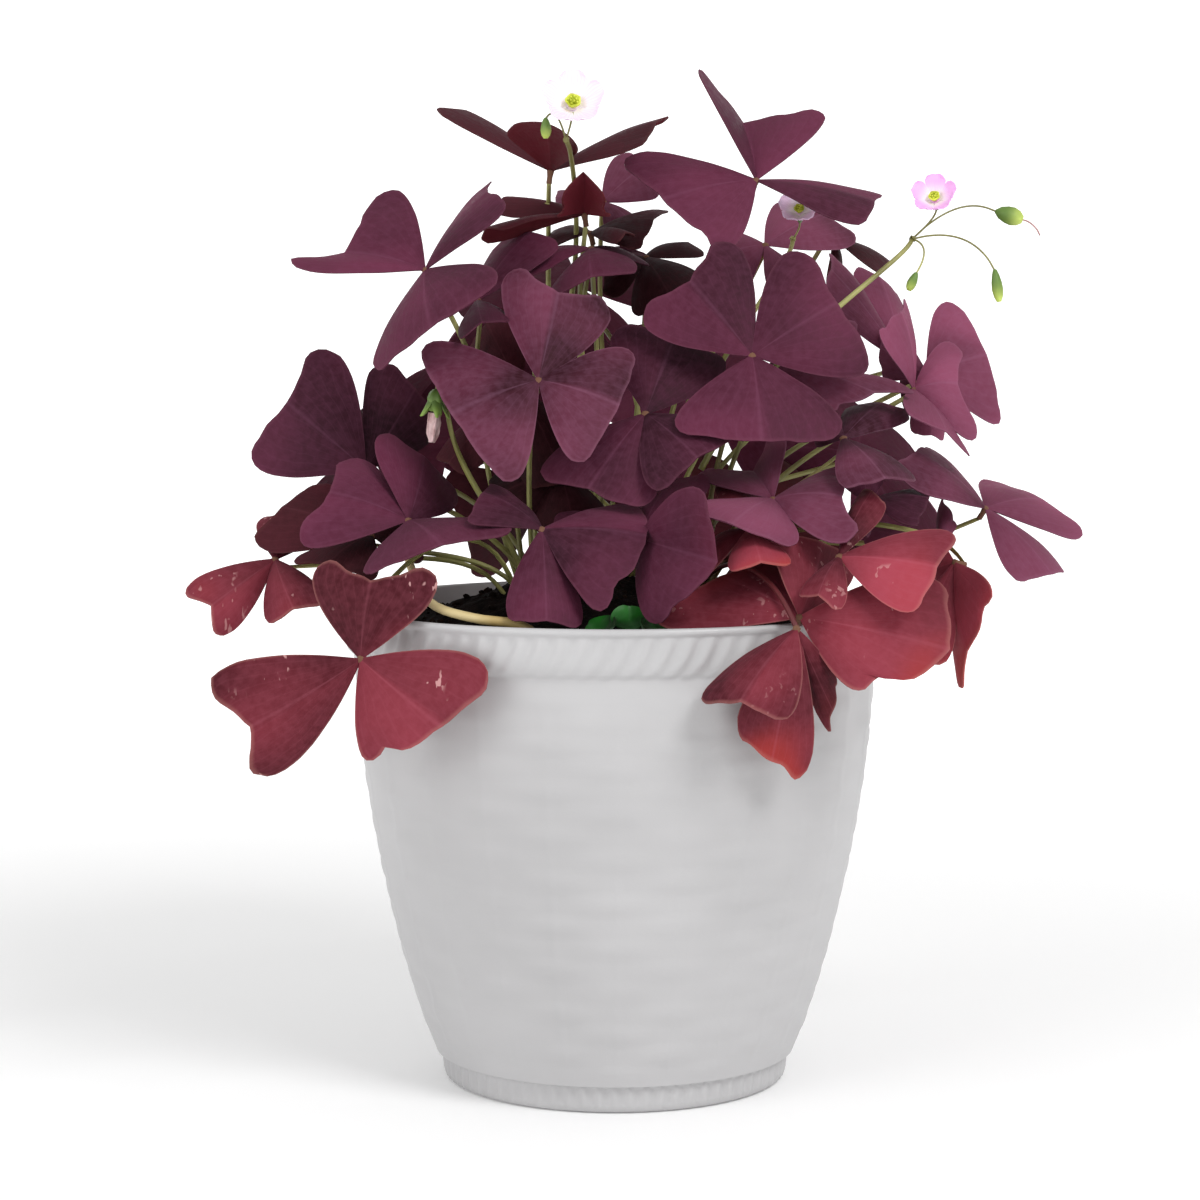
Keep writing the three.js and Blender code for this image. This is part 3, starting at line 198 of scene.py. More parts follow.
# Each back leaf: name, finish, hub (x, y, z), heading it faces, tilt, turn and leaflet length.
BACK_LEAVES = [
    ("leaf_38", "aubergine", (-36, 72, 232), 112, 50, 20, 42),
    ("leaf_39", "mauve", (34, 84, 226), 75, 52, 88, 42),
    ("leaf_40", "aubergine", (-84, 46, 206), 145, 55, 50, 41),
    ("leaf_41", "mauve", (84, 52, 204), 40, 54, 10, 41),
    ("leaf_42", "brown", (-26, 100, 188), 100, 62, 100, 38),
    ("leaf_43", "brown", (56, 92, 174), 62, 64, 30, 38),
    ("leaf_44", "aubergine", (-14, 84, 262), 96, 32, 30, 41),
]
# How a leaf looks: how light each half leaflet is within its finish, as painted light and shade
# for the way it faces the light (0 to 9, two for each leaflet), how red each leaflet's tip is flushed,
# how scarred the leaf is, and how full its blades are; the others have PLAIN_LOOK.
PLAIN_LOOK = ("445344", "000", 0, 1.0)
LOOKS = {
    "leaf_01": ("023211", "063", 0.2, 1.05),
    "leaf_02": ("301202", "000", 0, 1.04),
    "leaf_03": ("364453", "000", 0, 1.04),
    "leaf_04": ("204300", "000", 0, 1.1),
    "leaf_05": ("332211", "000", 0, 1.05),
    "leaf_06": ("868766", "000", 0, 1.0),
    "leaf_07": ("012100", "000", 0, 1.0),
    "leaf_08": ("237265", "004", 0, 1.05),
    "leaf_09": ("556644", "230", 0, 1.15),
    "leaf_10": ("333455", "320", 0, 1.08),
    "leaf_11": ("980011", "900", 0.2, 1.05),
    "leaf_12": ("580012", "600", 0.5, 1.08),
    "leaf_13": ("322154", "306", 0.5, 1.14),
    "leaf_14": ("000113", "000", 1, 1.04),
    "leaf_15": ("686476", "000", 0, 1.06),
    "leaf_16": ("665433", "000", 0, 1.1),
    "leaf_17": ("242111", "930", 0.6, 1.04),
    "leaf_18": ("994575", "750", 0.8, 1.15),
    "leaf_19": ("677743", "000", 0, 1.04),
    "leaf_20": ("675555", "000", 0, 1.05),
    "leaf_21": ("221155", "000", 0, 1.1),
    "leaf_22": ("666655", "000", 0, 1.0),
    "leaf_23": ("687446", "000", 0, 1.0),
    "leaf_24": ("341122", "000", 0, 1.03),
    "leaf_25": ("552255", "000", 0, 1.08),
    "leaf_26": ("685364", "000", 0, 1.0),
    "leaf_27": ("898764", "500", 0, 1.05),
    "leaf_28": ("332233", "000", 0, 1.0),
    "leaf_29": ("657755", "000", 0, 1.08),
    "leaf_30": ("345633", "000", 0, 1.1),
    "leaf_31": ("894994", "000", 0, 1.0),
    "leaf_32": ("432333", "000", 0, 1.08),
    "leaf_33": ("334433", "000", 0, 1.0),
    "leaf_34": ("454400", "000", 0, 1.1),
    "leaf_35": ("000022", "000", 0, 1.15),
    "leaf_36": ("222211", "000", 0, 1.05),
    "leaf_37": ("333322", "000", 0, 1.0),
}
APEX = math.radians(74)  # the angle between a back leaflet's shoulders, seen from its hub
DROOP = math.radians(12)

# Margin of a half leaflet from its hub to its shoulder: (share of run, share of spread).
SIDE_MARGIN = [(0, 0), (0.22, 0.38), (0.46, 0.73), (0.68, 0.96), (0.86, 1.05), (0.985, 0.99)]
TOP_MARGIN = [(1.045, 0.86), (1.06, 0.7)]
CAD_SHOULDER = [(0.88, 1.02), (1.04, 0.88)]  # the same two corners of the CAD leaflet
BLADE_GROWTH = 1.04  # how much wider the blades spread than their shoulders
NOTCH_FILL = 1.045  # blades reach this share of their midrib
LONG_MIDRIB = 1.25  # a midrib longer than this share of the shoulders' run widens its lobes


# ------------------------------------------------------------------ lines and places
def mm(*place):
    """A place given in millimetres, in metres."""
    return Vector(place) * MM


def on_sight(x, z, y):
    """The place at depth y that stands on the sight line of a place on the front elevation."""
    share = (y - EYE.y) / -EYE.y
    return EYE + (Vector((x, 0, z)) - EYE) * share


def smooth_line(points, steps=10):
    """A smooth line through all the points."""
    ends = [points[0] * 2 - points[1], *points, points[-1] * 2 - points[-2]]
    line = []
    for a, b, c, d in zip(ends, ends[1:], ends[2:], ends[3:]):
        for i in range(steps):
            t = i / steps
            line.append((b * 2 + (c - a) * t + (a * 2 - b * 5 + c * 4 - d) * t ** 2
                         + (b * 3 - a - c * 3 + d) * t ** 3) * 0.5)
    line.append(points[-1].copy())
    return line


def spaced(line, count):
    """Places at equal lengths along a line."""
    lengths = [0.0]
    for a, b in zip(line, line[1:]):
        lengths.append(lengths[-1] + (b - a).length)
    places, i = [], 0
    for k in range(count + 1):
        target = lengths[-1] * k / count
        while i < len(line) - 2 and lengths[i + 1] < target:
            i += 1
        span = lengths[i + 1] - lengths[i]
        places.append(line[i].lerp(line[i + 1], min(1, (target - lengths[i]) / span if span else 0)))
    return places


def frame_along(direction):
    """Two unit directions square to a direction and to each other."""
    side = direction.cross(UP)
    if side.length < 0.05:
        side = direction.cross(Vector((0, 1, 0)))
    side.normalize()
    return side, side.cross(direction).normalized()


def around(axis, count, first):
    """Directions square to an axis, in even turns from a first angle: number, outward, across."""
    side, top = frame_along(axis)
    for number in range(count):
        angle = number / count * FULL_TURN + first
        out = side * math.cos(angle) + top * math.sin(angle)
        yield number, out, axis.cross(out)


# ------------------------------------------------------------------ making and joining pieces
def deselect():
    bpy.ops.object.select_all(action="DESELECT")


def only(piece):
    """Selects one piece and nothing else."""
    deselect()
    piece.select_set(True)
    bpy.context.view_layer.objects.active = piece


def edit(piece):
    """Opens a piece's mesh with all of it selected."""
    only(piece)
    bpy.ops.object.mode_set(mode="EDIT")
    bpy.ops.mesh.select_all(action="SELECT")


def leave_edit():
    bpy.ops.object.mode_set(mode="OBJECT")


def face_outwards(piece):
    edit(piece)
    bpy.ops.mesh.normals_make_consistent(inside=False)
    leave_edit()


def copy_of(master):
    """A copy that has its own mesh."""
    twin = master.copy()
    twin.data = master.data.copy()
    bpy.context.scene.collection.objects.link(twin)
    return twin


def join(pieces):
    """Joins pieces into the first of them."""
    deselect()
    for piece in pieces:
        piece.select_set(True)
    bpy.context.view_layer.objects.active = pieces[0]
    if len(pieces) > 1:
        bpy.ops.object.join()
    return pieces[0]


def stood_on(base, axis):
    """The transform that stands a piece at a base and turns it from upright to an axis."""
    return Matrix.Translation(base * MM) @ UP.rotation_difference(axis).to_matrix().to_4x4()


def finish_modifier(piece, kind, **settings):
    """Adds a modifier with its settings and applies it."""
    only(piece)
    modifier = piece.modifiers.new(kind.lower(), kind)
    for name, value in settings.items():
        setattr(modifier, name, value)
    bpy.ops.object.modifier_apply(modifier=modifier.name)


def solidify(piece, thickness, **settings):
    """Gives a sheet its thickness, half to each side."""
    finish_modifier(piece, "SOLIDIFY", thickness=thickness * MM, offset=0, **settings)


def smooth(piece, degrees=50):
    """Shades a piece smooth, apart from edges sharper than an angle."""
    only(piece)
    bpy.ops.object.shade_smooth_by_angle(angle=math.radians(degrees))


def bring_in(piece, name, finish, *nodes):
    """Names a finished piece and hands it to the frame."""
    piece.name = piece.data.name = name
    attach(piece, "root")
    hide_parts(*nodes)


def grid(columns, rows):
    """A flat grid from -1 to 1 both ways, with a UV map, to be shaped."""
    deselect()
    bpy.ops.mesh.primitive_grid_add(x_subdivisions=columns, y_subdivisions=rows, size=2, calc_uvs=True)
    return bpy.context.object


def sheet_places(sheet):
    """Each corner of a grid with its place across, -1 to 1, and its share of the way along."""
    for vertex in sheet.data.vertices:
        yield vertex, vertex.co.x, (vertex.co.y + 1) / 2


def wrapped(columns, rows, place):
    """A grid bent into a closed ring by place(angle, row), with its seams merged."""
    piece = grid(columns, rows)
    for vertex in piece.data.vertices:
        angle = (vertex.co.x + 1) * math.pi
        row = round((vertex.co.y + 1) / 2 * rows)
        vertex.co = place(angle, row) * MM
    edit(piece)
    bpy.ops.mesh.remove_doubles(threshold=MERGE)
    bpy.ops.mesh.normals_make_consistent(inside=False)
    leave_edit()
    return piece


def turned(profile, sides, base, axis, ridges=0, ridge_depth=0.0):
    """A turned piece on (radius, height) rows that stands at base and points along axis."""
    axis = axis.normalized()
    side, top = frame_along(axis)

    def place(angle, row):
        radius, height = profile[row]
        radius *= 1 + ridge_depth * math.cos(ridges * angle)
        return (base + axis * height + side * (radius * math.cos(angle))
                + top * (radius * math.sin(angle)))
    return wrapped(sides, len(profile) - 1, place)


def tube(points, radius, sides=8, taper=1.0):
    """A round tube along a smooth line of places."""
    line = spaced(smooth_line(points), max(6, 3 * len(points)))
    last = len(line) - 1
    frames = []
    side, _ = frame_along((line[1] - line[0]).normalized())
    for i in range(len(line)):
        heading = (line[min(i + 1, last)] - line[max(i - 1, 0)]).normalized()
        side = (side - heading * side.dot(heading)).normalized()
        frames.append((side, heading.cross(side)))

    def place(angle, row):
        at = min(max(row - 1, 0), last)
        size = radius * (1 + (taper - 1) * at / last) if 0 < row < last + 2 else 0
        return line[at] + (frames[at][0] * math.cos(angle) + frames[at][1] * math.sin(angle)) * size
    return wrapped(sides, last + 2, place)


# ------------------------------------------------------------------ materials
def linear(code):
    """A colour code of six hexadecimal digits as linear light."""
    parts = [int(code[i:i + 2], 16) / 255 for i in (0, 2, 4)]
    return [p / 12.92 if p <= 0.04045 else ((p + 0.055) / 1.055) ** 2.4 for p in parts] + [1]


class Nodes:
    """Short ways to add and link the nodes of one tree."""

    def __init__(self, tree):
        self.tree = tree

    def add(self, kind, **settings):
        node = self.tree.nodes.new(kind)
        for name, value in settings.items():
            setattr(node, name, value)
        return node

    def feed(self, socket, value):
        if isinstance(value, bpy.types.NodeSocket):
            self.tree.links.new(value, socket)
        elif value is not None:
            socket.default_value = linear(value) if isinstance(value, str) else value

    def math(self, operation, a, b=None, clamp=False):
        node = self.add("ShaderNodeMath", operation=operation, use_clamp=clamp)
        self.feed(node.inputs[0], a)
        self.feed(node.inputs[1], b)
        return node.outputs[0]

    def times(self, a, b):
        return self.math("MULTIPLY", a, b)

    def plus(self, a, b):
        return self.math("ADD", a, b)

    def spread(self, value, low, high, to_low=0.0, to_high=1.0):
        """A value from low to high, spread softly from to_low to to_high."""
        node = self.add("ShaderNodeMapRange", interpolation_type="SMOOTHSTEP")
        for socket, given in zip(node.inputs, (value, low, high, to_low, to_high)):
            self.feed(socket, given)
        return node.outputs[0]

    def mix(self, factor, a, b):
        node = self.add("ShaderNodeMix", data_type="RGBA")
        for index, given in ((0, factor), (6, a), (7, b)):
            self.feed(node.inputs[index], given)
        return node.outputs[2]

    def noise(self, place, scale, detail=2.0, roughness=0.5):
        node = self.add("ShaderNodeTexNoise")
        for name, given in (("Vector", place), ("Scale", scale), ("Detail", detail),
                            ("Roughness", roughness)):
            self.feed(node.inputs[name], given)
        return node.outputs[0]

    def own_place(self):
        return self.add("ShaderNodeTexCoord").outputs["Object"]

    def look(self, name):
        """What set_look has kept on the piece."""
        return self.add("ShaderNodeAttribute", attribute_name=name).outputs["Fac"]

    def chart(self):
        """The piece's UV map as two values."""
        split = self.add("ShaderNodeSeparateXYZ")
        self.feed(split.inputs[0], self.add("ShaderNodeTexCoord").outputs["UV"])
        return split.outputs[0], split.outputs[1]

    def use(self, group, **values):
        """Places a node group with its own values."""
        node = self.add("ShaderNodeGroup", node_tree=group)
        for name, value in values.items():
            self.feed(node.inputs[name], value)
        return node.outputs

    def bump(self, height, strength, distance):
        node = self.add("ShaderNodeBump")
        for name, given in (("Height", height), ("Strength", strength), ("Distance", distance)):
            self.feed(node.inputs[name], given)
        return node.outputs[0]


def new_group(name, inputs, outputs):
    """A node group of single values: its nodes, what is given to it and what it puts out."""
    group = bpy.data.node_groups.new(name, "ShaderNodeTree")
    for label, default in inputs:
        socket = group.interface.new_socket(label, in_out="INPUT", socket_type="NodeSocketFloat")
        socket.default_value = default
    for label in outputs:
        group.interface.new_socket(label, in_out="OUTPUT", socket_type="NodeSocketFloat")
    nodes = Nodes(group)
    return nodes, nodes.add("NodeGroupInput").outputs, nodes.add("NodeGroupOutput").inputs


def make_mottle():
    """Soft uneven patches over a surface."""
    nodes, given, out = new_group(
        "Mottle", [("Scale", 30), ("Detail", 2), ("Low", 0.35), ("High", 0.65)], ["Mask"])
    patches = nodes.noise(nodes.own_place(), given["Scale"], given["Detail"])
    nodes.feed(out["Mask"], nodes.spread(patches, given["Low"], given["High"]))
    return nodes.tree


def make_veins():
    """Veins that fan from a blade's hub, its midrib, and its margin."""
    nodes, given, out = new_group(
        "Blade veins", [("Fans", 7)], ["Veins", "Midrib", "Margin", "Knot", "Along"])
    across, along = nodes.chart()
    out_share = nodes.times(nodes.math("ABSOLUTE", nodes.math("SUBTRACT", across, 0.5)), 2)
    wander = nodes.noise(nodes.own_place(), 90, 2)
    bend = nodes.plus(out_share, nodes.times(wander, 0.16))
    lean = nodes.plus(bend, nodes.times(along, -0.14))
    fans = nodes.math("SINE", nodes.times(lean, nodes.times(given["Fans"], FULL_TURN)))
    main = nodes.spread(fans, 0.72, 1)
    twigs_at = nodes.plus(nodes.times(bend, 1.7), along)
    twigs = nodes.math("SINE", nodes.times(twigs_at, nodes.times(given["Fans"], 9)))
    fine = nodes.times(nodes.spread(twigs, 0.8, 1), nodes.spread(along, 0.25, 0.6, 0, 0.5))
    nodes.feed(out["Veins"], nodes.math("MAXIMUM", main, fine))
    nodes.feed(out["Midrib"], nodes.spread(out_share, 0.0, 0.05, 1, 0))
    nodes.feed(out["Margin"], nodes.spread(nodes.math("MAXIMUM", out_share, along), 0.955, 1))
    nodes.feed(out["Knot"], nodes.math("LESS_THAN", along, -0.5))
    nodes.feed(out["Along"], along)
    return nodes.tree


def make_scars():
    """Pale scratches and pits that old blades carry in patches."""
    nodes, given, out = new_group("Scars", [("Patches", 0.6), ("Lines", 0.66)], ["Mask"])
    place = nodes.own_place()
    patch = nodes.noise(place, 42, 1)
    drawn_out = nodes.add("ShaderNodeMapping")
    nodes.feed(drawn_out.inputs["Vector"], place)
    drawn_out.inputs["Scale"].default_value = (1, 1, 0.3)
    scratch = nodes.spread(nodes.noise(drawn_out.outputs[0], 420, 2, 0.6), given["Lines"],
                           nodes.plus(given["Lines"], 0.04))
    pit = nodes.spread(nodes.noise(place, 260, 1), 0.7, 0.76)
    where = nodes.spread(patch, given["Patches"], nodes.plus(given["Patches"], 0.05))
    nodes.feed(out["Mask"], nodes.times(nodes.math("MAXIMUM", scratch, pit), where))
    return nodes.tree


MOTTLE = make_mottle()
VEINS = make_veins()
SCARS = make_scars()


def new_material(name):
    """A material, its nodes and its shader's inputs."""
    material = bpy.data.materials.new(name)
    material.use_nodes = True
    nodes = Nodes(material.node_tree)
    return material, nodes, material.node_tree.nodes["Principled BSDF"].inputs


def blade_material(name, deep, light, vein, rim, flush, scarred=False):
    """A velvety leaf blade: deep to light by the painted light and shade that each half leaflet carries,
    veined, rimmed, flushed at its tip.
    """
    material, nodes, shader = new_material(name)
    veins = nodes.use(VEINS, Fans=6.0)
    patches = nodes.use(MOTTLE, Scale=26, Detail=1, Low=0.3, High=0.7)["Mask"]
    # Each half leaflet's tone is painted light and shade; soft random patches and a slight darkening
    # towards the hub are added to it.
    outward = nodes.times(nodes.math("SUBTRACT", veins["Along"], 0.6), 0.16)
    uneven = nodes.plus(outward, nodes.times(nodes.math("SUBTRACT", patches, 0.5), 0.44))
    broad = nodes.math("ADD", nodes.look("tone"), uneven, clamp=True)
    fine = nodes.use(MOTTLE, Scale=420, Detail=3, Low=0.3, High=0.7)["Mask"]
    colour = nodes.mix(broad, deep, light)
    colour = nodes.mix(nodes.times(fine, 0.09), colour, vein)
    tip = nodes.times(nodes.spread(veins["Along"], 0.55, 1.0),
                      nodes.use(MOTTLE, Scale=24, Detail=1, Low=0.45, High=0.62)["Mask"])
    colour = nodes.mix(nodes.times(tip, nodes.look("flush")), colour, flush)
    colour = nodes.mix(nodes.times(veins["Veins"], 0.035), colour, vein)
    colour = nodes.mix(nodes.times(veins["Midrib"], 0.12), colour, vein)
    if scarred:
        marks = nodes.use(SCARS, Patches=0.58, Lines=0.63)["Mask"]
        marks = nodes.times(marks, nodes.look("scars"))
        colour = nodes.mix(nodes.times(marks, 0.6), colour, "dcaaa8")
    colour = nodes.mix(nodes.times(veins["Margin"], 0.25), colour, rim)
    colour = nodes.mix(veins["Knot"], colour, "6f4f3e")
    nodes.feed(shader["Base Color"], colour)
    height = nodes.plus(nodes.times(veins["Veins"], -0.3), nodes.times(fine, 0.35))
    nodes.feed(shader["Normal"], nodes.bump(height, 0.22, 0.0004))
    nodes.feed(shader["Roughness"], nodes.spread(fine, 0, 1, 0.55, 0.72))
    shader["Specular IOR Level"].default_value = 0.1
    shader["Sheen Weight"].default_value = 0.04
    shader["Sheen Roughness"].default_value = 0.5
    shader["Sheen Tint"].default_value = linear("d9a6bd")
    return material


def plain_material(name, deep, light, scale, roughness, bump=0.0, bump_scale=400.0, red=None):
    """One finish of two tones in soft patches, with a fine grain and a red that set_look brings."""
    material, nodes, shader = new_material(name)
    mask = nodes.use(MOTTLE, Scale=scale, Detail=3)["Mask"]
    colour = nodes.mix(mask, deep, light)
    nodes.feed(shader["Base Color"], nodes.mix(nodes.look("tone"), colour, red) if red else colour)
    nodes.feed(shader["Roughness"], nodes.spread(mask, 0, 1, roughness, roughness + 0.1))
    if roughness > 0.8:
        shader["Specular IOR Level"].default_value = 0.1
    if bump:
        grain = nodes.use(MOTTLE, Scale=bump_scale, Detail=4, Low=0.2, High=0.8)["Mask"]
        nodes.feed(shader["Normal"], nodes.bump(grain, 0.5, bump * MM))
    return material


# The brown finish is painted shade: an aubergine darkened for leaves that stand deep in the plant's
# shadow.
BLADES = {
    "aubergine": blade_material("velvet aubergine blade", "280c17", "622940", "8a5570", "6e4050",
                                "6d2238"),
    "mauve": blade_material("velvet mauve blade", "320f1a", "8a4560", "a0708c", "8f5f74", "7c3350"),
    "brown": blade_material("shaded brown blade", "1c080a", "501c26", "74404a", "5c3432", "6a2226"),
    "crimson": blade_material("old crimson blade", "44121b", "9e3e4c", "b46474", "c0857c", "a2332c",
                              scarred=True),
}
# The brown underside is painted shade as well.
UNDERSIDES = {
    "aubergine": blade_material("aubergine underside", "421424", "6c2a42", "8c4a60", "6e4050", "7a2438"),
    "mauve": blade_material("mauve underside", "541b30", "944c67", "a8688a", "8f5f74", "8c3350"),
    "brown": blade_material("brown underside", "2c0c0e", "661f28", "7c3a48", "5c3432", "6a2430"),
    "crimson": blade_material("crimson underside", "5c161f", "a63f4c", "bb6878", "c0857c", "a3302c"),
}
STALK = plain_material("green stalk", "6f6b36", "a9a765", 40, 0.42, 0.05, red="5f2227")
OLD_STALK = plain_material("tan stalk", "b39a62", "d9c795", 45, 0.45, 0.08)
POT_WHITE = plain_material("white moulded plastic", "b3b2b3", "bbbabb", 12, 0.36, 0.02, 900)
SOIL = plain_material("damp potting soil", "090504", "1a1210", 220, 0.88, 1.2, 500)
CRUMB = plain_material("soil crumbs", "0f0907", "2a1d17", 90, 0.9, 0.3, 900)


def petal_material():
    """Pale pink petals, whiter at the throat and faintly veined."""
    material, nodes, shader = new_material("pale pink petal")
    veins = nodes.use(VEINS, Fans=4.0)
    pink = nodes.times(nodes.spread(veins["Along"], 0.1, 0.7), nodes.look("tone"))
    colour = nodes.mix(pink, "fbf4fa", "efb4ec")
    colour = nodes.mix(nodes.times(veins["Veins"], 0.25), colour, "e0a5dc")
    nodes.feed(shader["Base Color"], colour)
    nodes.feed(shader["Normal"], nodes.bump(veins["Veins"], 0.2, 0.0002))
    nodes.feed(shader["Roughness"], nodes.spread(veins["Veins"], 0, 1, 0.5, 0.6))
    shader["Subsurface Weight"].default_value = 0.15
    shader["Subsurface Radius"].default_value = (0.004, 0.003, 0.003)
    return material


def bud_material(name, foot, tip):
    """A calyx or bud that turns from its foot's colour to its tip's."""
    material, nodes, shader = new_material(name)
    _, along = nodes.chart()
    mask = nodes.use(MOTTLE, Scale=300, Detail=2, Low=0.3, High=0.7)["Mask"]
    colour = nodes.mix(nodes.spread(along, 0.35, 0.95), foot, tip)
    colour = nodes.mix(nodes.times(mask, 0.25), colour, "4d6a2a")
    nodes.feed(shader["Base Color"], colour)
    nodes.feed(shader["Roughness"], nodes.spread(mask, 0, 1, 0.45, 0.6))
    return material


PETAL = petal_material()
BUD = bud_material("green bud", "5f7d33", "cfe06a")
CUP = bud_material("green calyx", "55702f", "8fae4f")
CENTRE = plain_material("yellow green throat", "a9b21c", "d6e04a", 500, 0.5, 0.1, 900)
WITHERED = plain_material("withered petal", "b98f8e", "e3c4c4", 260, 0.7, 0.3, 500)


def seedling_material():
    """Glossy green seedling leaves, with painted shade at the foot and a painted highlight at the rim."""
    material, nodes, shader = new_material("green seedling leaf")
    mask = nodes.use(MOTTLE, Scale=130, Detail=2, Low=0.35, High=0.65)["Mask"]
    _, along = nodes.chart()
    # Painted shade near the stalk that brightens into a painted highlight towards the rim.
    colour = nodes.mix(nodes.spread(along, 0.2, 0.95), "092c0a", "247a22")
    colour = nodes.mix(nodes.times(mask, 0.5), colour, "124514")
    nodes.feed(shader["Base Color"], colour)
    nodes.feed(shader["Roughness"], nodes.spread(mask, 0, 1, 0.4, 0.55))
    nodes.feed(shader["Normal"], nodes.bump(mask, 0.3, 0.0004))
    return material


SEEDLING = seedling_material()


def set_look(piece, **values):
    """Keeps how a piece's finish is toned at its corners: one value, or one for each corner."""
    for name, value in values.items():
        shade = piece.data.attributes.new(name, "FLOAT", "POINT")
        each = value if isinstance(value, list) else [value] * len(piece.data.vertices)
        shade.data.foreach_set("value", each)


def wear(piece, *materials):
    """Gives a piece its materials."""
    piece.data.materials.clear()
    for material in materials:
        piece.data.materials.append(material)


# ------------------------------------------------------------------ leaves
def placed_leaflets(row):
    """A leaf's hub and its leaflets as (two shoulders, reach, notch), on their sight lines."""
    hub_x, hub_z, hub_y = row[2]
    leaflets = []
    for x1, z1, y1, x2, z2, y2, *notch in row[3:]:
        shoulders = [on_sight(x1, z1, hub_y + y1), on_sight(x2, z2, hub_y + y2)]
        end = on_sight(notch[0], notch[1], hub_y + notch[2]) if len(notch) == 3 else None
        leaflets.append((shoulders, notch[0] if end is None else 1, end))
    return on_sight(hub_x, hub_z, hub_y), leaflets


def back_leaflets(row):
    """A back leaf's hub and its three leaflets, which are alike."""
    hub, heading, tilt, turn, length = Vector(row[2]), *row[3:]
    facing, lean = math.radians(heading), math.radians(tilt)
    normal = Vector((math.cos(facing) * math.sin(lean), math.sin(facing) * math.sin(lean),
                     math.cos(lean)))
    across = Vector((-math.sin(facing), math.cos(facing), 0))
    upward = normal.cross(across)

    def shoulder(angle):
        flat = across * math.cos(angle) + upward * math.sin(angle)
        return hub + flat * (length * math.cos(DROOP)) - normal * (length * math.sin(DROOP))
    middles = [math.radians(turn + 120 * i) for i in range(3)]
    return hub, [([shoulder(m - APEX / 2), shoulder(m + APEX / 2)], 0.95, None) for m in middles]


def leaflet_axes(hub, leaflet):
    """A leaflet's normal, its midrib's direction and length, and for each half its run along the
    midrib, its spread, the direction it spreads in and which shoulder it ends at."""
    shoulders, reach, notch = leaflet
    spans = [(corner - hub, number) for number, corner in enumerate(shoulders)]
    normal = spans[0][0].cross(spans[1][0]).normalized()
    if normal.dot(Vector((0, -0.5, 1))) < 0:
        normal = -normal
        spans.reverse()
    rib = notch - hub if notch else (spans[0][0] + spans[1][0]) * (reach / 2) + normal * FOLD
    along = rib.normalized()
    halves = []
    for span, number in spans:
        run = span.dot(along)
        out = span - along * run
        halves.append((run, out.length, out.normalized(), number))
    return normal, along, rib.length, halves


def arch(share):
    """How high a blade arches at a share of its length."""
    share = min(1, share)
    return BLADE_ARCH * 4 * share * (1 - share)


def set_back(name, hub, leaflets):
    """How far a front leaf is moved along its sight lines, from the box of its CAD node."""
    low, high = (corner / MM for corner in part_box(name))
    depths = []
    for leaflet in leaflets:
        normal, along, length, halves = leaflet_axes(hub, leaflet)
        depths.append((hub + along * length).y)
        for run, spread, across, _ in halves:
            for share, width in CAD_SHOULDER:
                place = hub + along * (run * share) + across * (spread * width)
                depths.append((place + normal * (arch(share) * 0.5)).y)
            lobe = 0.45 * run + 0.55 * length + 0.07 * run  # where the CAD leaflet's lobe ends
            depths.append((hub + along * lobe + across * (spread * 0.45)).y)
    depths.append(hub.y)
    middle = (min(depths) + max(depths)) / 2
    return ((low.y + high.y) / 2 - EYE.y) / (middle - EYE.y)


def moved_back(place, scale):
    """A place moved along its sight line to a multiple of its distance from the eye."""
    return EYE + (place - EYE) * scale if place else None


def read_leaves():
    """Every leaf as name, finish, hub and leaflets, where its CAD node stands."""
    leaves = []
    for row in FRONT_LEAVES:
        hub, leaflets = placed_leaflets(row)
        scale = set_back(row[0], hub, leaflets)
        leaflets = [([moved_back(corner, scale) for corner in shoulders], reach,
                     moved_back(notch, scale)) for shoulders, reach, notch in leaflets]
        leaves.append((row[0], row[1], moved_back(hub, scale), leaflets))
    for row in BACK_LEAVES:
        hub, leaflets = back_leaflets(row)
        leaves.append((row[0], row[1], hub, leaflets))
    return leaves


def leaf_normal(hub, leaflets):
    """The way a whole leaf faces."""
    return sum((leaflet_axes(hub, leaflet)[0] for leaflet in leaflets), Vector()).normalized()


def half_outline(run, spread, length):
    """Places along a half blade's side margin and its top margin, as (along, out)."""
    side = [Vector((run * share, spread * width)) for share, width in SIDE_MARGIN]
    end = length * NOTCH_FILL
    bulge = min(1, max(0, end / max(run, 1) - LONG_MIDRIB))
    lobe = Vector((0.485 * run + 0.55 * end, spread * (0.42 + 0.36 * bulge)))
    corners = [Vector((run * share, spread * width)) for share, width in reversed(TOP_MARGIN)]
    top = [Vector((end, 0)), lobe, *corners, side[-1]]
    return spaced(smooth_line(side), ROWS), spaced(smooth_line(top), COLUMNS)


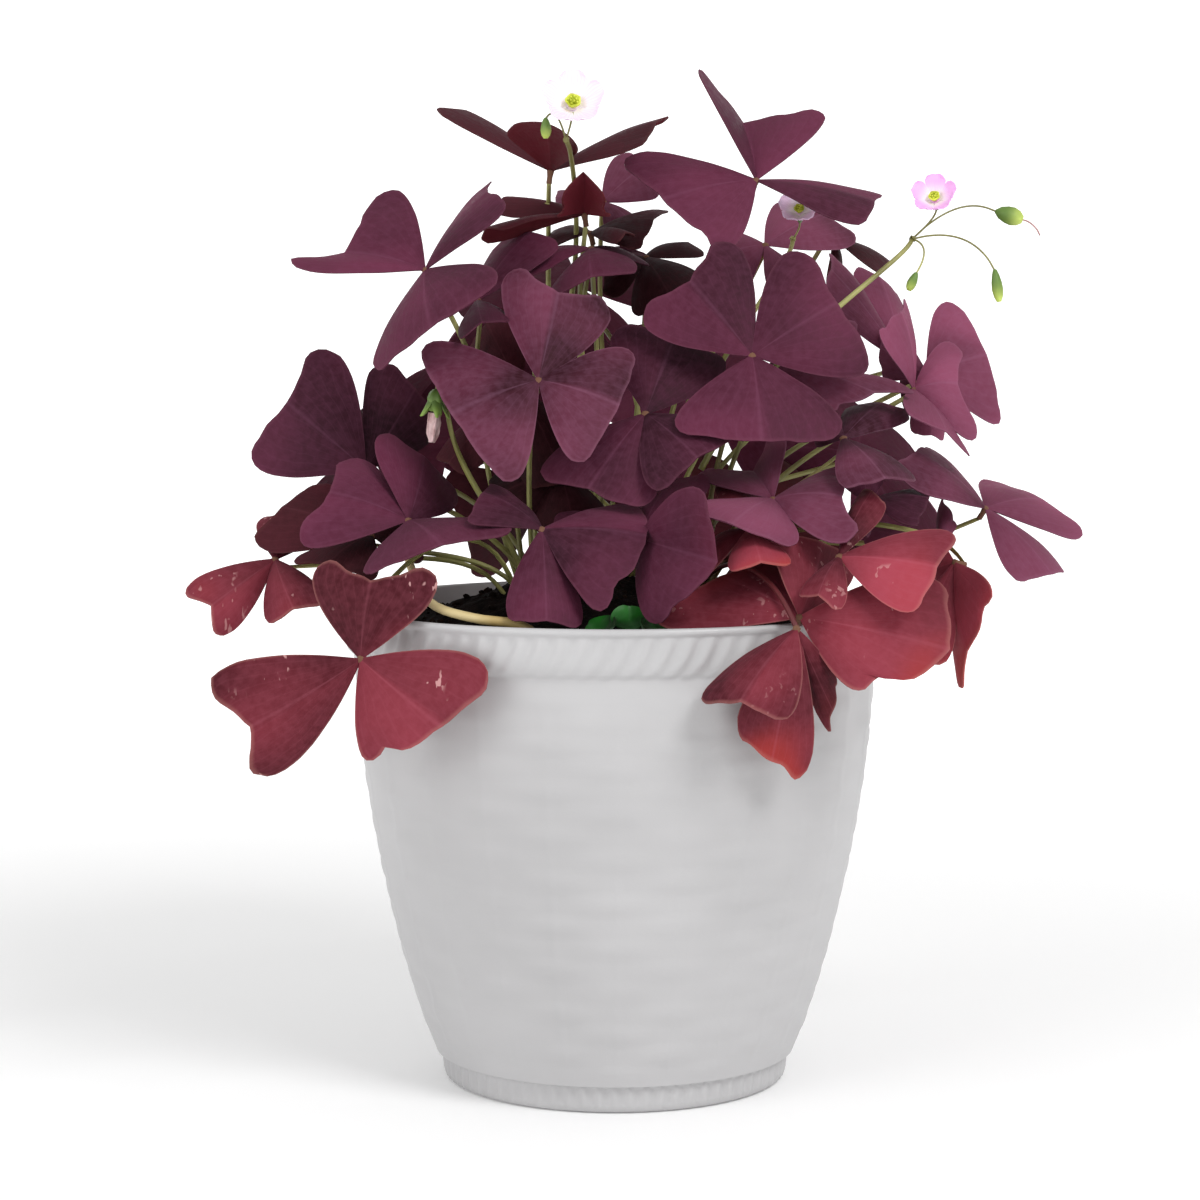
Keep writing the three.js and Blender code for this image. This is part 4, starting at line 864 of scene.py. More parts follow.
def shape_blade(blade, hub, leaflet, look, index, seed):
    """Bends a flat grid into one leaflet: two half blades on a folded midrib."""
    tones, flushes, scars, fullness = look
    shades = []
    normal, along, length, halves = leaflet_axes(hub, leaflet)
    outlines = [half_outline(run * BLADE_GROWTH, spread * BLADE_GROWTH * fullness,
                             length * BLADE_GROWTH) for run, spread, _, _ in halves]
    length *= BLADE_GROWTH
    puff = FOLDED_PUFF * max(0, halves[0][2].dot(halves[1][2]))
    for vertex in blade.data.vertices:
        half, mirror = (0, 1) if vertex.co.x >= 0 else (1, -1)
        column = round(abs(vertex.co.x) * COLUMNS)
        row = round((vertex.co.y + 1) / 2 * ROWS)
        _, _, across, number = halves[half]
        # Each half leaflet's tone is painted light and shade for the way that half faces the light.
        shades.append((int(tones[2 * index + number]) + 0.5) / 10)
        side, top = outlines[half]
        out, up = column / COLUMNS, row / ROWS
        rib = Vector((length * NOTCH_FILL * up, 0))
        place = rib * (1 - out) + side[row] * out
        place += up * (top[column] - top[0] * (1 - out) - top[-1] * out)
        place.y += BLADE_FOOT * out * (1 - up) ** 2
        ripple = noise.noise(Vector((place.x * 0.06, place.y * 0.09 * mirror, seed * 3.7)))
        nick = noise.noise(Vector((place.x * 0.16, place.y * 0.16 * mirror, seed * 5.1)))
        margin = max(out, up) ** 4
        place *= 1 + MARGIN_NICKS * nick * margin
        lift = arch(up) * (1 - 0.5 * out)
        lift += BLADE_SWELL * math.sin(math.pi * out) * math.sin(math.pi * up)
        lift += puff * math.sin(math.pi * out ** 0.85) * min(1, 1.3 * up)
        lift += BLADE_WAVES * ripple * out * up - SHOULDER_DROP * (out ** 3) * up
        vertex.co = (hub + along * place.x + across * place.y + normal * lift) * MM
    set_look(blade, tone=shades, flush=int(flushes[index]) / 9, scars=scars)


def make_knot_master():
    """The small joint where three leaflets meet their stalk, drawn up ring by ring."""
    deselect()
    bpy.ops.mesh.primitive_circle_add(vertices=8, radius=KNOT_RADIUS * MM, fill_type="NGON",
                                      calc_uvs=True, location=(0, 0, -KNOT_DEPTH * MM))
    knot = bpy.context.object
    bpy.ops.object.transform_apply(location=True)
    edit(knot)
    for rise, size in KNOT_RINGS:
        bpy.ops.mesh.extrude_region_move(TRANSFORM_OT_translate={"value": (0, 0, rise * MM)})
        bpy.ops.transform.resize(value=(size, size, 1), center_override=(0, 0, 0))
    leave_edit()
    face_outwards(knot)
    for corner in knot.data.uv_layers.active.data:
        corner.uv = (0.5, -1)  # below the chart, where blade_material gives the knot its colour
    return knot


def make_leaves(leaves):
    """Each leaf as one piece: three blades, dark above and paler below, on their knot."""
    blade_master = grid(2 * COLUMNS, ROWS)
    knot_master = make_knot_master()
    for number, (name, finish, hub, leaflets) in enumerate(leaves):
        blades = []
        for index, leaflet in enumerate(leaflets):
            blade = copy_of(blade_master)
            shape_blade(blade, hub, leaflet, LOOKS.get(name, PLAIN_LOOK), index, number * 3 + index)
            blades.append(blade)
        leaf = join(blades)
        wear(leaf, BLADES[finish], UNDERSIDES[finish])
        solidify(leaf, BLADE_THICKNESS, material_offset=1, material_offset_rim=0)
        knot = copy_of(knot_master)
        knot.data.transform(stood_on(hub, leaf_normal(hub, leaflets)))
        wear(knot, BLADES[finish])
        leaf = join([leaf, knot])
        smooth(leaf)
        bring_in(leaf, name + "_blades", "leaf_" + finish, name)
    bpy.data.objects.remove(blade_master)
    bpy.data.objects.remove(knot_master)


# ------------------------------------------------------------------ pot
def smooth_steps(points, length):
    """Even steps of about a length along a smooth profile."""
    line = smooth_line([Vector(point) for point in points])
    total = sum((b - a).length for a, b in zip(line, line[1:]))
    return spaced(line, max(1, round(total / length)))


def pot_rows():
    """The wall's section, closed on itself, as (radius, height, relief)."""
    rows = [(FOOT_INSIDE, 0, ""), (55.4, 0, ""), (56.3, 0.5, "foot"), (56.7, 2.5, "foot"),
            (56.9, 5.5, "foot"), (57.1, 7.6, "foot"), (57.3, 8.5, ""), (58.6, FOOT_HEIGHT, "")]
    rows += [(step.y, step.x, "wall") for step in smooth_steps(WALL_ROWS, WALL_STEP)]
    rows += [(86.2, 141.6, ""), (86.9, 142.2, "rope"), (87.6, 143.2, "rope"), (88.2, 145, "rope"),
             (88.5, 147, "rope"), (88.6, 149, "rope"), (88.6, 151, "rope"), (88.6, 152.6, "rope"),
             (88.7, 153.8, "rope"), (89.0, 154.5, ""), (89.7, 155, ""), (RIM_RADIUS, 155.7, ""),
             (89.9, 156.4, ""), (89.4, 156.9, ""), (88.6, 157, ""), (87.2, 156.8, ""),
             (86.2, 156.2, "")]
    rows += [(r - WALL, z, "") for z, r in reversed(WALL_ROWS)]
    rows += [(FOOT_RADIUS - WALL, FLOOR, ""), (FOOT_INSIDE, FLOOR - 0.5, ""), (FOOT_INSIDE, 0, "")]
    return rows


def foot_ribs(angle, height):
    """Upright ribs that die out at the top and the bottom of the foot."""
    share = min(1, height / FOOT_RIB_END, (FOOT_RIB_TOP - height) / FOOT_RIB_END)
    return FOOT_RIB_DEPTH * math.cos(FOOT_RIBS * angle) * share


def rope_flutes(angle, height):
    """Flutes that lean at their foot and stand upright under the lip."""
    share = (height - ROPE_BOTTOM) / (ROPE_TOP - ROPE_BOTTOM)
    twist = FULL_TURN / ROPE_FLUTES * (1 - (1 - share) ** 1.7)
    fade = min(1, 0.45 + 2 * share, (ROPE_TOP + 0.6 - height) / 2.2)
    return FLUTE_DEPTH * fade * (0.35 + 0.65 * math.cos(ROPE_FLUTES * (angle - twist)))


def weave(angle, height):
    """Weavers that pass over every other stake, each row the other way from the last."""
    rise = height - FOOT_HEIGHT
    weaver = math.floor(rise / WEAVER_PITCH)
    hump = abs(math.sin(math.pi * rise / WEAVER_PITCH)) ** 0.7
    over = 0.5 + 0.5 * math.cos(STAKES / 2 * angle + math.pi * weaver)
    stake = max(0, math.cos(STAKES * angle)) ** 6
    fade = max(0, min(1, rise / 6, (BAND_BOTTOM - height) / 8))
    uneven = noise.noise(Vector((3 * math.cos(angle), 3 * math.sin(angle), height * 0.06)))
    return WEAVE_DEPTH * fade * (0.7 + 0.5 * uneven) * (hump * over + 0.25 * stake - 0.3)


POT_RELIEF = {"foot": foot_ribs, "rope": rope_flutes, "wall": weave}


def wall_radius(height):
    """The pot's outer radius at a height, without its relief."""
    for (z0, r0), (z1, r1) in zip(WALL_ROWS, WALL_ROWS[1:]):
        if height <= z1:
            return r0 + (r1 - r0) * max(0, height - z0) / (z1 - z0)
    return WALL_ROWS[-1][1]


def make_pot_wall():
    """The wall with its foot, weave, fluted band and lip, turned from one section."""
    rows = pot_rows()

    def place(angle, row):
        radius, height, kind = rows[row]
        if kind:
            radius += POT_RELIEF[kind](angle, height)
        return Vector((radius * math.cos(angle), radius * math.sin(angle), height))
    wall = wrapped(POT_COLUMNS, len(rows) - 1, place)
    wear(wall, POT_WHITE)
    smooth(wall, 60)
    bring_in(wall, "moulded_pot_wall", "pot", "pot")


def make_pot_floor():
    """The floor plate, whose drain holes are drilled right through."""
    edge = FOOT_RADIUS - WALL
    plate_rows = [(0, PLATE_UNDERSIDE), (edge, PLATE_UNDERSIDE), (edge + 0.5, 1.4),
                  (edge + 0.5, FLOOR - 0.4), (edge, FLOOR), (0, FLOOR)]
    plate = turned(plate_rows, 96, Vector(), UP)
    for i in range(DRAINS):
        angle = (i + 0.5) * FULL_TURN / DRAINS
        place = mm(DRAIN_RING * math.cos(angle), DRAIN_RING * math.sin(angle), 0)
        deselect()
        bpy.ops.mesh.primitive_cylinder_add(vertices=32, radius=DRAIN_RADIUS * MM,
                                            depth=3 * FLOOR * MM, location=place)
        drill = bpy.context.object
        finish_modifier(plate, "BOOLEAN", operation="DIFFERENCE", object=drill)
        bpy.data.objects.remove(drill)
    wear(plate, POT_WHITE)
    smooth(plate, 30)
    bring_in(plate, "pot_floor_with_drain_holes", "pot", "pot")


# ------------------------------------------------------------------ soil
def soil_height(x, y):
    """The height of the ground that the stalks stand in, the same as the CAD soil's."""
    reach = min(1, math.hypot(x, y) / (RIM_RADIUS - 6))
    lumps = 0.9 * math.sin(0.19 * x + 1.1) * math.cos(0.23 * y) + 0.5 * math.sin(0.41 * (x + y))
    return SOIL_CROWN - (SOIL_CROWN - SOIL_EDGE) * reach ** 3 + lumps


def mound(x, y):
    """The soil's surface with its heaps about the crowns and its crumbly grain."""
    height = soil_height(x, y)
    for heap_x, heap_y, rise, spread in HEAPS:
        height += rise * math.exp(-((x - heap_x) ** 2 + (y - heap_y) ** 2) / spread)
    grain = noise.fractal(Vector((x * 0.16, y * 0.16, 1.3)), 0.8, 2.2, 5)
    return height + 1.1 * grain


def make_ground(edge):
    """The soil's body: rings of its surface out to the edge, then its side and its foot."""
    body = [(edge - 1.2, 108), (wall_radius(48) - WALL - 0.9, 48),
            (FOOT_RADIUS - WALL - 1.2, SOIL_FOOT), (0, SOIL_FOOT)]

    def place(angle, row):
        x, y = math.cos(angle), math.sin(angle)
        if row <= SOIL_RINGS:
            radius = edge * row / SOIL_RINGS
            return Vector((radius * x, radius * y, mound(radius * x, radius * y)))
        radius, height = body[row - SOIL_RINGS - 1]
        return Vector((radius * x, radius * y, height))
    ground = wrapped(SOIL_SIDES, SOIL_RINGS + len(body), place)
    wear(ground, SOIL)
    smooth(ground, 80)
    return ground


def make_crumbs(edge):
    """Loose crumbs of soil, each turned and squashed its own way."""
    picks = random.Random(CRUMB_SEED)
    deselect()
    bpy.ops.mesh.primitive_ico_sphere_add(subdivisions=1, radius=1)
    crumb_master = bpy.context.object
    crumbs = []
    for _ in range(CRUMBS):
        angle, radius = picks.uniform(0, FULL_TURN), edge * math.sqrt(picks.uniform(0.02, 0.97))
        x, y = radius * math.cos(angle), radius * math.sin(angle)
        size = picks.uniform(0.5, 1.7)
        crumb = copy_of(crumb_master)
        for vertex in crumb.data.vertices:
            vertex.co *= picks.uniform(0.7, 1.25)
        shape = Matrix.Diagonal((size * MM, size * MM * picks.uniform(0.6, 1), size * MM * 0.7, 1))
        crumb.data.transform(Matrix.Translation(mm(x, y, mound(x, y) + 0.2 * size))
                             @ Matrix.Rotation(picks.uniform(0, 6), 4, "Z") @ shape)
        wear(crumb, CRUMB)
        crumbs.append(crumb)
    bpy.data.objects.remove(crumb_master)
    return crumbs


def make_soil():
    edge = wall_radius(SOIL_EDGE) - WALL - 0.7
    soil = join([make_ground(edge), *make_crumbs(edge)])
    bring_in(soil, "potting_soil", "soil", "soil")


# ------------------------------------------------------------------ stalks
# Each head of flowers: where its thin stalks part, the open flower's centre, the way it faces, its
# size and how pink it is, and its buds as (bend of the thin stalk, foot, direction, length, radius).
UMBELS = [
    {"name": "bloom_1", "joint": (-16, 308, -26), "centre": (-13.6, 320.7, -36),
     "axis": (0.05, -0.85, 0.5), "size": 1, "pink": 0.3,
     "buds": [((-19, 320, -28), (-22.6, 315, -30), (0, 0, -1), 6, 1.7)]},
    {"name": "bloom_2", "joint": (97, 276, 4), "centre": (104, 290, -2),
     "axis": (-0.2, -0.8, 0.55), "size": 0.75, "pink": 1,
     "buds": [((112, 291, 10), (124, 285, 14), (0.95, 0, -0.3), 9, 2.3),
              ((116, 281, -4), (124, 266, -6), (0.15, 0, -0.99), 10, 1.8),
              ((104, 274, 0), (98.5, 265, -2), (-0.4, 0, -0.9), 6, 1.6)]},
    {"name": "bloom_3", "joint": (58, 276, 34), "centre": (60, 286, 24),
     "axis": (-0.1, -0.8, 0.6), "size": 0.7, "pink": 0.5, "buds": []},
]
PEDICEL_RADIUS = 0.32  # the thin stalks between a head's fork and its flowers
# The flowers' stalks and the topmost leaf's: each curve by its four guiding places, and how far it
# is bowed aside.
HIGH_STALKS = [
    ([(-17.9, -18.1, 155), (-32.5, 0.8, 219.9), (-24.9, -14.1, 292), (-15.7, -26, 306.5)], (11, 50, 0)),
    ([(17.8, -20.7, 156), (12.3, -34.3, 223.8), (94, -4.5, 265.5), (97.4, 4, 276.1)], (0, 0, 0)),
    ([(8.1, 19.9, 156.1), (8.1, 19.9, 211.7), (60.2, 34, 263.7), (60.2, 34, 276.9)], (0, 0, 0)),
    ([(-22, -5.5, 155), (-22.1, -15, 215), (-23.5, 4.5, 281.3), (-21.7, 10.1, 294.5)], (0, 50, 0)),
]
STALK_CUT = 196  # the height above which these stalks are drawn anew
STALK_RADIUS = 1.05
BLOOM_DEPTH = 4.5  # from an open flower's centre back to its foot
CALYX = 3
CALYX_GAP = 0.3  # between a calyx and its petals
SPENT_TOP = (-56, 235, -22)
SPENT_HANG = (-58.5, 227, -24)
SPENT_CUP, SPENT_RADIUS = 8, 3
SPENT_DOWN = Vector((-0.1, 0, -1)).normalized()
PETALS = 5  # so many sepals and ridges too
ANTHERS = 10
ANTHER_SEED = 5
REDDENING = ("leaf_01", "leaf_11", "leaf_12", "leaf_13")  # old leaves that redden stalks
RED_REACH = 48  # how far they do


def bloom_frame(umbel):
    """An open flower's foot, the way it faces and its size."""
    axis = Vector(umbel["axis"]).normalized()
    base = on_sight(*umbel["centre"]) - axis * (BLOOM_DEPTH * umbel["size"])
    return base, axis, umbel["size"]


def heads():
    """What stands on the stalks' ends: joint, bend, base, direction, length, radius and maker."""
    found = []
    for umbel in UMBELS:
        base, axis, size = bloom_frame(umbel)
        joint, cup = on_sight(*umbel["joint"]), base - axis * (CALYX + CALYX_GAP)
        found.append((joint, cup - axis * 5, cup, axis, CALYX, 1.9 * size, make_calyx))
        for over, at, toward, length, radius in umbel["buds"]:
            direction = Vector(toward).normalized()
            found.append((joint, on_sight(*over), on_sight(*at), direction, length, radius, make_bud))
    top = on_sight(*SPENT_TOP)
    found.append((top, top + Vector((-3, 0, 3)), on_sight(*SPENT_HANG), SPENT_DOWN, SPENT_CUP,
                  SPENT_RADIUS, make_spent_cup))
    return found


def pedicel_places(head, count=12):
    """Places along the thin stalk that carries a head, from its fork to the head's foot."""
    joint, bend, base = head[:3]
    shares = [i / count for i in range(count + 1)]
    return [joint * (1 - t) ** 2 + bend * (2 * t * (1 - t)) + base * t ** 2 for t in shares]


def near_crown(place):
    """Whether a place lies on one of the clumps that the stalks rise from."""
    for x, y in CROWNS:
        out = math.hypot(place.x - x, place.y - y)
        top = soil_height(x, y) + CROWN_RISE * (1 - out / CROWN_RADIUS)
        if out < CROWN_RADIUS + 0.15 and place.z < top + 0.12:
            return True
    return False


def within_head(place, head):
    """Whether a place lies on a CAD bud or cup, or on the thin stalk that carries it, with a little
    to spare."""
    joint, _, base, axis, length, radius, _ = head
    rise = (place - base).dot(axis)
    if -0.8 < rise < length + 0.3 and (place - base - axis * rise).length < radius + 0.5:
        return True
    on_pedicel = any((place - at).length < 1.5 for at in pedicel_places(head)[1:])
    return (place - joint).length > 1.65 and on_pedicel


def stalk_curve(guides, bow=(0, 0, 0), count=60):
    """Places along a high stalk above its cut, bowed aside by so much at the middle."""
    a, b, c, d = (Vector(place) for place in guides)
    curve = [a * (1 - t) ** 3 + b * (3 * t * (1 - t) ** 2) + c * (3 * t * t * (1 - t)) + d * t ** 3
             for t in (i / count for i in range(count + 1))]
    curve = [place for place in curve if place.z > STALK_CUT]
    down = [(d.z - place.z) / (d.z - STALK_CUT) for place in curve]
    return [place + Vector(bow) * math.sin(math.pi * share ** 0.7) for place, share in zip(curve, down)]


def redden(piece, hubs):
    """Reddens the stalks below the old red leaves."""
    reds = []
    for vertex in piece.data.vertices:
        place = vertex.co / MM
        nearest = min((place - hub).length for hub in hubs)
        reds.append(min(1, 1.8 * max(0, 1 - nearest / RED_REACH)))
    set_look(piece, tone=reds)


def cut_away(net):
    """Takes the clump, the heads and the high stalks off a bunch, and closes what is left."""
    clump = [face for face in net.faces if all(near_crown(v.co / MM) for v in face.verts)]
    bmesh.ops.delete(net, geom=clump, context="FACES")
    all_heads = heads()
    top_parts = [v for v in net.verts if any(within_head(v.co / MM, head) for head in all_heads)]
    bmesh.ops.delete(net, geom=top_parts, context="VERTS")
    curves = [place for guides, _ in HIGH_STALKS for place in stalk_curve(guides)]
    high = [v for v in net.verts if v.co.z > (STALK_CUT + 1) * MM
            and min((v.co / MM - place).length for place in curves) < 1.3]
    bmesh.ops.delete(net, geom=high, context="VERTS")
    bmesh.ops.holes_fill(net, edges=net.edges, sides=0)


def crease_ends(net):
    """Makes four-sided faces and keeps sharp bends, such as closed ends, when they are smoothed."""
    bmesh.ops.join_triangles(net, faces=[f for f in net.faces if len(f.verts) == 3],
                             angle_face_threshold=math.radians(40),
                             angle_shape_threshold=math.radians(70))
    crease = net.edges.layers.float.get("crease_edge") or net.edges.layers.float.new("crease_edge")
    for edge in net.edges:
        if len(edge.link_faces) == 2 and edge.calc_face_angle(0) > math.radians(62):
            edge[crease] = 0.9


def bare_stalks(node, hubs):
    """The stalks of a CAD bunch, rounded, without their clump and heads."""
    bunch = copy_of(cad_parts[node])
    bunch.parent = None
    bunch.matrix_world = Matrix.Identity(4)
    bunch.hide_render = bunch.hide_viewport = False
    net = bmesh.new()
    net.from_mesh(bunch.data)
    bmesh.ops.remove_doubles(net, verts=net.verts, dist=MERGE)
    cut_away(net)
    crease_ends(net)
    net.to_mesh(bunch.data)
    net.free()
    edit(bunch)
    bpy.ops.transform.shrink_fatten(value=-0.1 * MM)
    leave_edit()
    finish_modifier(bunch, "SUBSURF", levels=2, render_levels=2)
    redden(bunch, hubs)
    return bunch


def sepals(base, axis):
    """Five pointed green sepals that stand out round the spent flower's cup."""
    found = []
    for _, out, across in around(axis, PETALS, 0.9):
        sepal = grid(4, 8)
        for vertex, x, down in sheet_places(sepal):
            half = 1.5 * math.sin(math.pi * (0.25 + 0.72 * down)) ** 0.8
            reach = 1.5 + 3.6 * down ** 1.4 - 0.5 * x * x
            vertex.co = (base + axis * (1.4 + 7.5 * down) + out * reach + across * (half * x)) * MM
        wear(sepal, CUP)
        solidify(sepal, 0.4)
        found.append(sepal)
    return found


def make_bud(base, axis, length, radius):
    """A closed bud. The biggest one carries a withered thread at its tip."""
    length, radius = length * 1.05, radius * (1.3 if radius > 2 else 1)
    profile = [(0, -0.3), (0.6, 0), (radius * 0.65, length * 0.16), (radius * 0.92, length * 0.4),
               (radius, length * 0.62), (radius * 0.8, length * 0.84), (radius * 0.4, length),
               (0, length)]
    bud = turned(profile, 15, base, axis, PETALS, 0.08)
    wear(bud, BUD)
    if radius > 2.5:
        tip = base + axis * (length - 0.4)
        thread = tube([tip, tip + axis * 2.5, tip + axis * 4.5 + Vector((0.6, 0, -1.5)),
                       tip + axis * 5.5 + Vector((1, 0, -3.6))], 0.3, 6)
        wear(thread, WITHERED)
        bud = join([bud, thread])
    return bud


def make_calyx(base, axis, length, radius):
    """The cup of an open flower."""
    profile = [(0, -0.9), (0.7, -0.6), (radius * 0.75, 0.5), (radius, length * 0.6),
               (radius * 1.05, length), (radius * 0.8, length + 0.2), (0, length)]
    calyx = turned(profile, 20, base, axis, PETALS, 0.1)
    wear(calyx, CUP)
    return calyx


def make_spent_cup(base, axis, length, _):
    """The nodding cup of the spent flower, whose width its profile gives."""
    profile = [(0, -0.2), (1.2, 0.1), (2.2, 1.4), (2.6, 3), (2.3, 4.6), (1.6, length - 1),
               (0, length - 1)]
    cup = turned(profile, 20, base, axis, PETALS, 0.12)
    wear(cup, CUP)
    return join([cup, *sepals(base, axis)])


def make_head(head):
    """A bud or cup with its thin stalk."""
    _, _, base, axis, length, radius, make = head
    piece = make(base, axis, length, radius)
    places = pedicel_places(head, 8)
    stem = tube([*places[:-1], base + axis * 0.3], PEDICEL_RADIUS, 7)
    set_look(stem, tone=0)
    wear(stem, STALK)
    smooth(piece, 60)
    return join([piece, stem])


def make_stalks(leaves):
    """Each crown's bunch of stalks, with the high stalks and the heads that grow from it."""
    all_heads = heads()
    hubs = [hub for name, _, hub, _ in leaves if name in REDDENING]
    for node in ("stalks_1", "stalks_2", "stalks_3"):
        bunch = bare_stalks(node, hubs)
        wear(bunch, STALK)
        if not bunch.data.uv_layers:
            bunch.data.uv_layers.new(name="UVMap")  # the heads that are joined on bring theirs
        cad = [v.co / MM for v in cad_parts[node].data.vertices]
        own = [head for head in all_heads if any(within_head(place, head) for place in cad)]
        upper = []
        for guides, bow in HIGH_STALKS:
            if any((place - Vector(guides[3])).length < 3 for place in cad):
                stem = tube(stalk_curve(guides, bow, 24), STALK_RADIUS, 12, 0.72)
                set_look(stem, tone=0)
                wear(stem, STALK)
                upper.append(stem)
        bunch = join([bunch, *upper, *[make_head(head) for head in own]])
        smooth(bunch, 60)
        bring_in(bunch, node + "_and_buds", "stalk", node)


OLD_STALK_RADIUS = 1.7
# The old stalk that bends over the rim to leaf_15: the places that it passes.
BENT_STALK = [(-23, -70, 142), (-23.3, -70.2, 150.5), (-29, -71.5, 156.5), (-43, -70.5, 158.5),
              (-56, -61.5, 161.5), (-62, -53, 168)]


def make_bent_stalk(leaves):
    """The old stalk, from the soil to the foot of its leaf's knot."""
    _, _, hub, leaflets = next(leaf for leaf in leaves if leaf[0] == "leaf_15")
    normal = leaf_normal(hub, leaflets)
    tip = hub - normal * (KNOT_DEPTH - 0.2)
    places = [*[Vector(place) for place in BENT_STALK], tip - normal * 6, tip]
    stalk = tube(places, OLD_STALK_RADIUS, 12, 0.7)
    wear(stalk, OLD_STALK)
    smooth(stalk, 60)
    bring_in(stalk, "bent_old_stalk", "stalk", "bent_stalk")


# ------------------------------------------------------------------ flowers
def make_petals(umbel):
    """Five open petals that stand in a ring round a closed throat."""
    base, axis, size = bloom_frame(umbel)
    petals = []
    for number, out, across in around(axis, PETALS, 0.05 * FULL_TURN):
        petal = grid(10, 12)
        for vertex, x, up in sheet_places(petal):
            half = 0.7 + 3.9 * math.sin(math.pi / 2 * min(1, up / 0.75)) ** 1.2
            half -= 1.3 * max(0, up - 0.75) / 0.25
            reach = 1.2 + 9.1 * up - (1.9 * x ** 2 + 0.5 * (1 - abs(x)) ** 3) * up ** 3
            rise = 0.9 + 6.0 * (up + 0.12 * up * (1 - up)) + 0.7 * abs(x) ** 1.5 * up
            rise += 0.35 * noise.noise(Vector((x * 2, up * 3, number * 4.3))) * up
            vertex.co = (base + axis * (size * rise) + out * (size * reach)
                         + across * (size * half * x)) * MM
        petals.append(petal)
    flower = join(petals)
    wear(flower, PETAL)
    solidify(flower, 0.3)
    profile = [(0, 0), (1.3, 0), (1.7, 1.2), (1.9, 1.9), (0, 1.8)]
    throat = turned([(radius * size, height * size) for radius, height in profile], 20, base, axis)
    wear(throat, PETAL)
    flower = join([flower, throat])
    set_look(flower, tone=umbel["pink"])
    face_outwards(flower)
    smooth(flower, 60)
    bring_in(flower, umbel["name"] + "_open_petals", "petal", umbel["name"] + "_petals")


def make_anther(angle, radius, height, lift):
    """One anther on its filament, as two pieces that stand upright about the origin."""
    deselect()
    bpy.ops.mesh.primitive_uv_sphere_add(segments=8, ring_count=5, radius=0.42 * MM, location=mm(
        radius * math.cos(angle), radius * math.sin(angle), height + lift))
    anther = bpy.context.object
    bpy.ops.object.transform_apply(location=True)
    foot = Vector((radius * 0.7 * math.cos(angle), radius * 0.7 * math.sin(angle), 3.9))
    head = Vector((radius * math.cos(angle), radius * math.sin(angle), height))
    return [anther, tube([foot, (foot + head) / 2, head], 0.16, 6)]


def make_centre(umbel):
    """A flower's yellow green throat with its ring of anthers, tall and short in turn."""
    base, axis, size = bloom_frame(umbel)
    profile = [(0, 2.3), (1.3, 2.3), (2.3, 4.0), (2.5, 4.7), (1.9, 4.9), (1.2, 4.3), (0, 4.1)]
    parts = [turned(profile, 25, Vector(), UP, PETALS, 0.06)]
    picks = random.Random(ANTHER_SEED)
    for number in range(ANTHERS):
        radius, height = (1.5, 5.1) if number % 2 else (0.9, 5.6)
        parts += make_anther(number / ANTHERS * FULL_TURN, radius, height, picks.uniform(-0.15, 0.15))
    centre = join(parts)
    centre.data.transform(stood_on(base, axis) @ Matrix.Diagonal((size, size, size, 1)))
    wear(centre, CENTRE)
    smooth(centre, 60)
    bring_in(centre, umbel["name"] + "_throat", "flower_centre", umbel["name"] + "_centre")


def make_spent_petals():
    """Withered petals that hang shut from the nodding cup."""
    start = on_sight(*SPENT_HANG) + SPENT_DOWN * (SPENT_CUP - 0.4)
    strips = []
    for number, out, across in around(SPENT_DOWN, PETALS, 0.4):
        strip = grid(6, 10)
        for vertex, x, down in sheet_places(strip):
            half = 1.5 * math.sin(math.pi * min(0.97, 0.15 + 0.8 * down)) ** 0.7
            crumple = noise.noise(Vector((x * 1.4, down * 4, number * 2.9)))
            radius = 1.5 + 0.5 * math.sin(math.pi * down) - 0.7 * down + 0.6 * crumple
            vertex.co = (start + SPENT_DOWN * (9.4 * down) + out * radius + across * (half * x)) * MM
        strips.append(strip)
    spent = join(strips)
    wear(spent, WITHERED)
    solidify(spent, 0.3)
    face_outwards(spent)
    smooth(spent, 70)
    bring_in(spent, "withered_petals", "petal", "spent_petals")


# ------------------------------------------------------------------ seedling
# Each leaf of the seedling: its middle, the way it faces and its radius.
SEEDLING_LEAVES = [((-4.5, -66, 155.5), (-0.35, -0.5, 0.8), 5.6), ((4, -65, 158), (0, -0.6, 0.8), 6.2),
                   ((12, -67, 155), (0.35, -0.45, 0.8), 5.6)]
SEEDLING_FORK = 152  # the height at which its stem parts
SEEDLING_STEM, SEEDLING_STALK = 1.1, 0.6  # the radii of its stem and of each leaf's stalk


def seedling_leaf(centre, normal, outward, radius, seed):
    """A round leaf, cupped, with a notch at its outer end."""
    across = outward.cross(normal)
    leaf = grid(16, 16)
    for vertex in leaf.data.vertices:
        u, v = vertex.co.x, vertex.co.y
        wide, far = u * math.sqrt(1 - v * v / 2), v * math.sqrt(1 - u * u / 2)  # a square made round
        notch = 0.13 * math.exp(-(wide / 0.22) ** 2) * max(0, far) ** 2
        cup = 1.1 * (wide ** 2 + far ** 2) - 0.5 * abs(wide)
        cup += 0.5 * noise.noise(Vector((wide * 1.5, far * 1.5, seed)))
        vertex.co = (centre + (across * wide + outward * (far - notch)) * (0.92 * radius)
                     + normal * (cup - 0.4)) * MM
    wear(leaf, SEEDLING)
    solidify(leaf, 0.5)
    return leaf


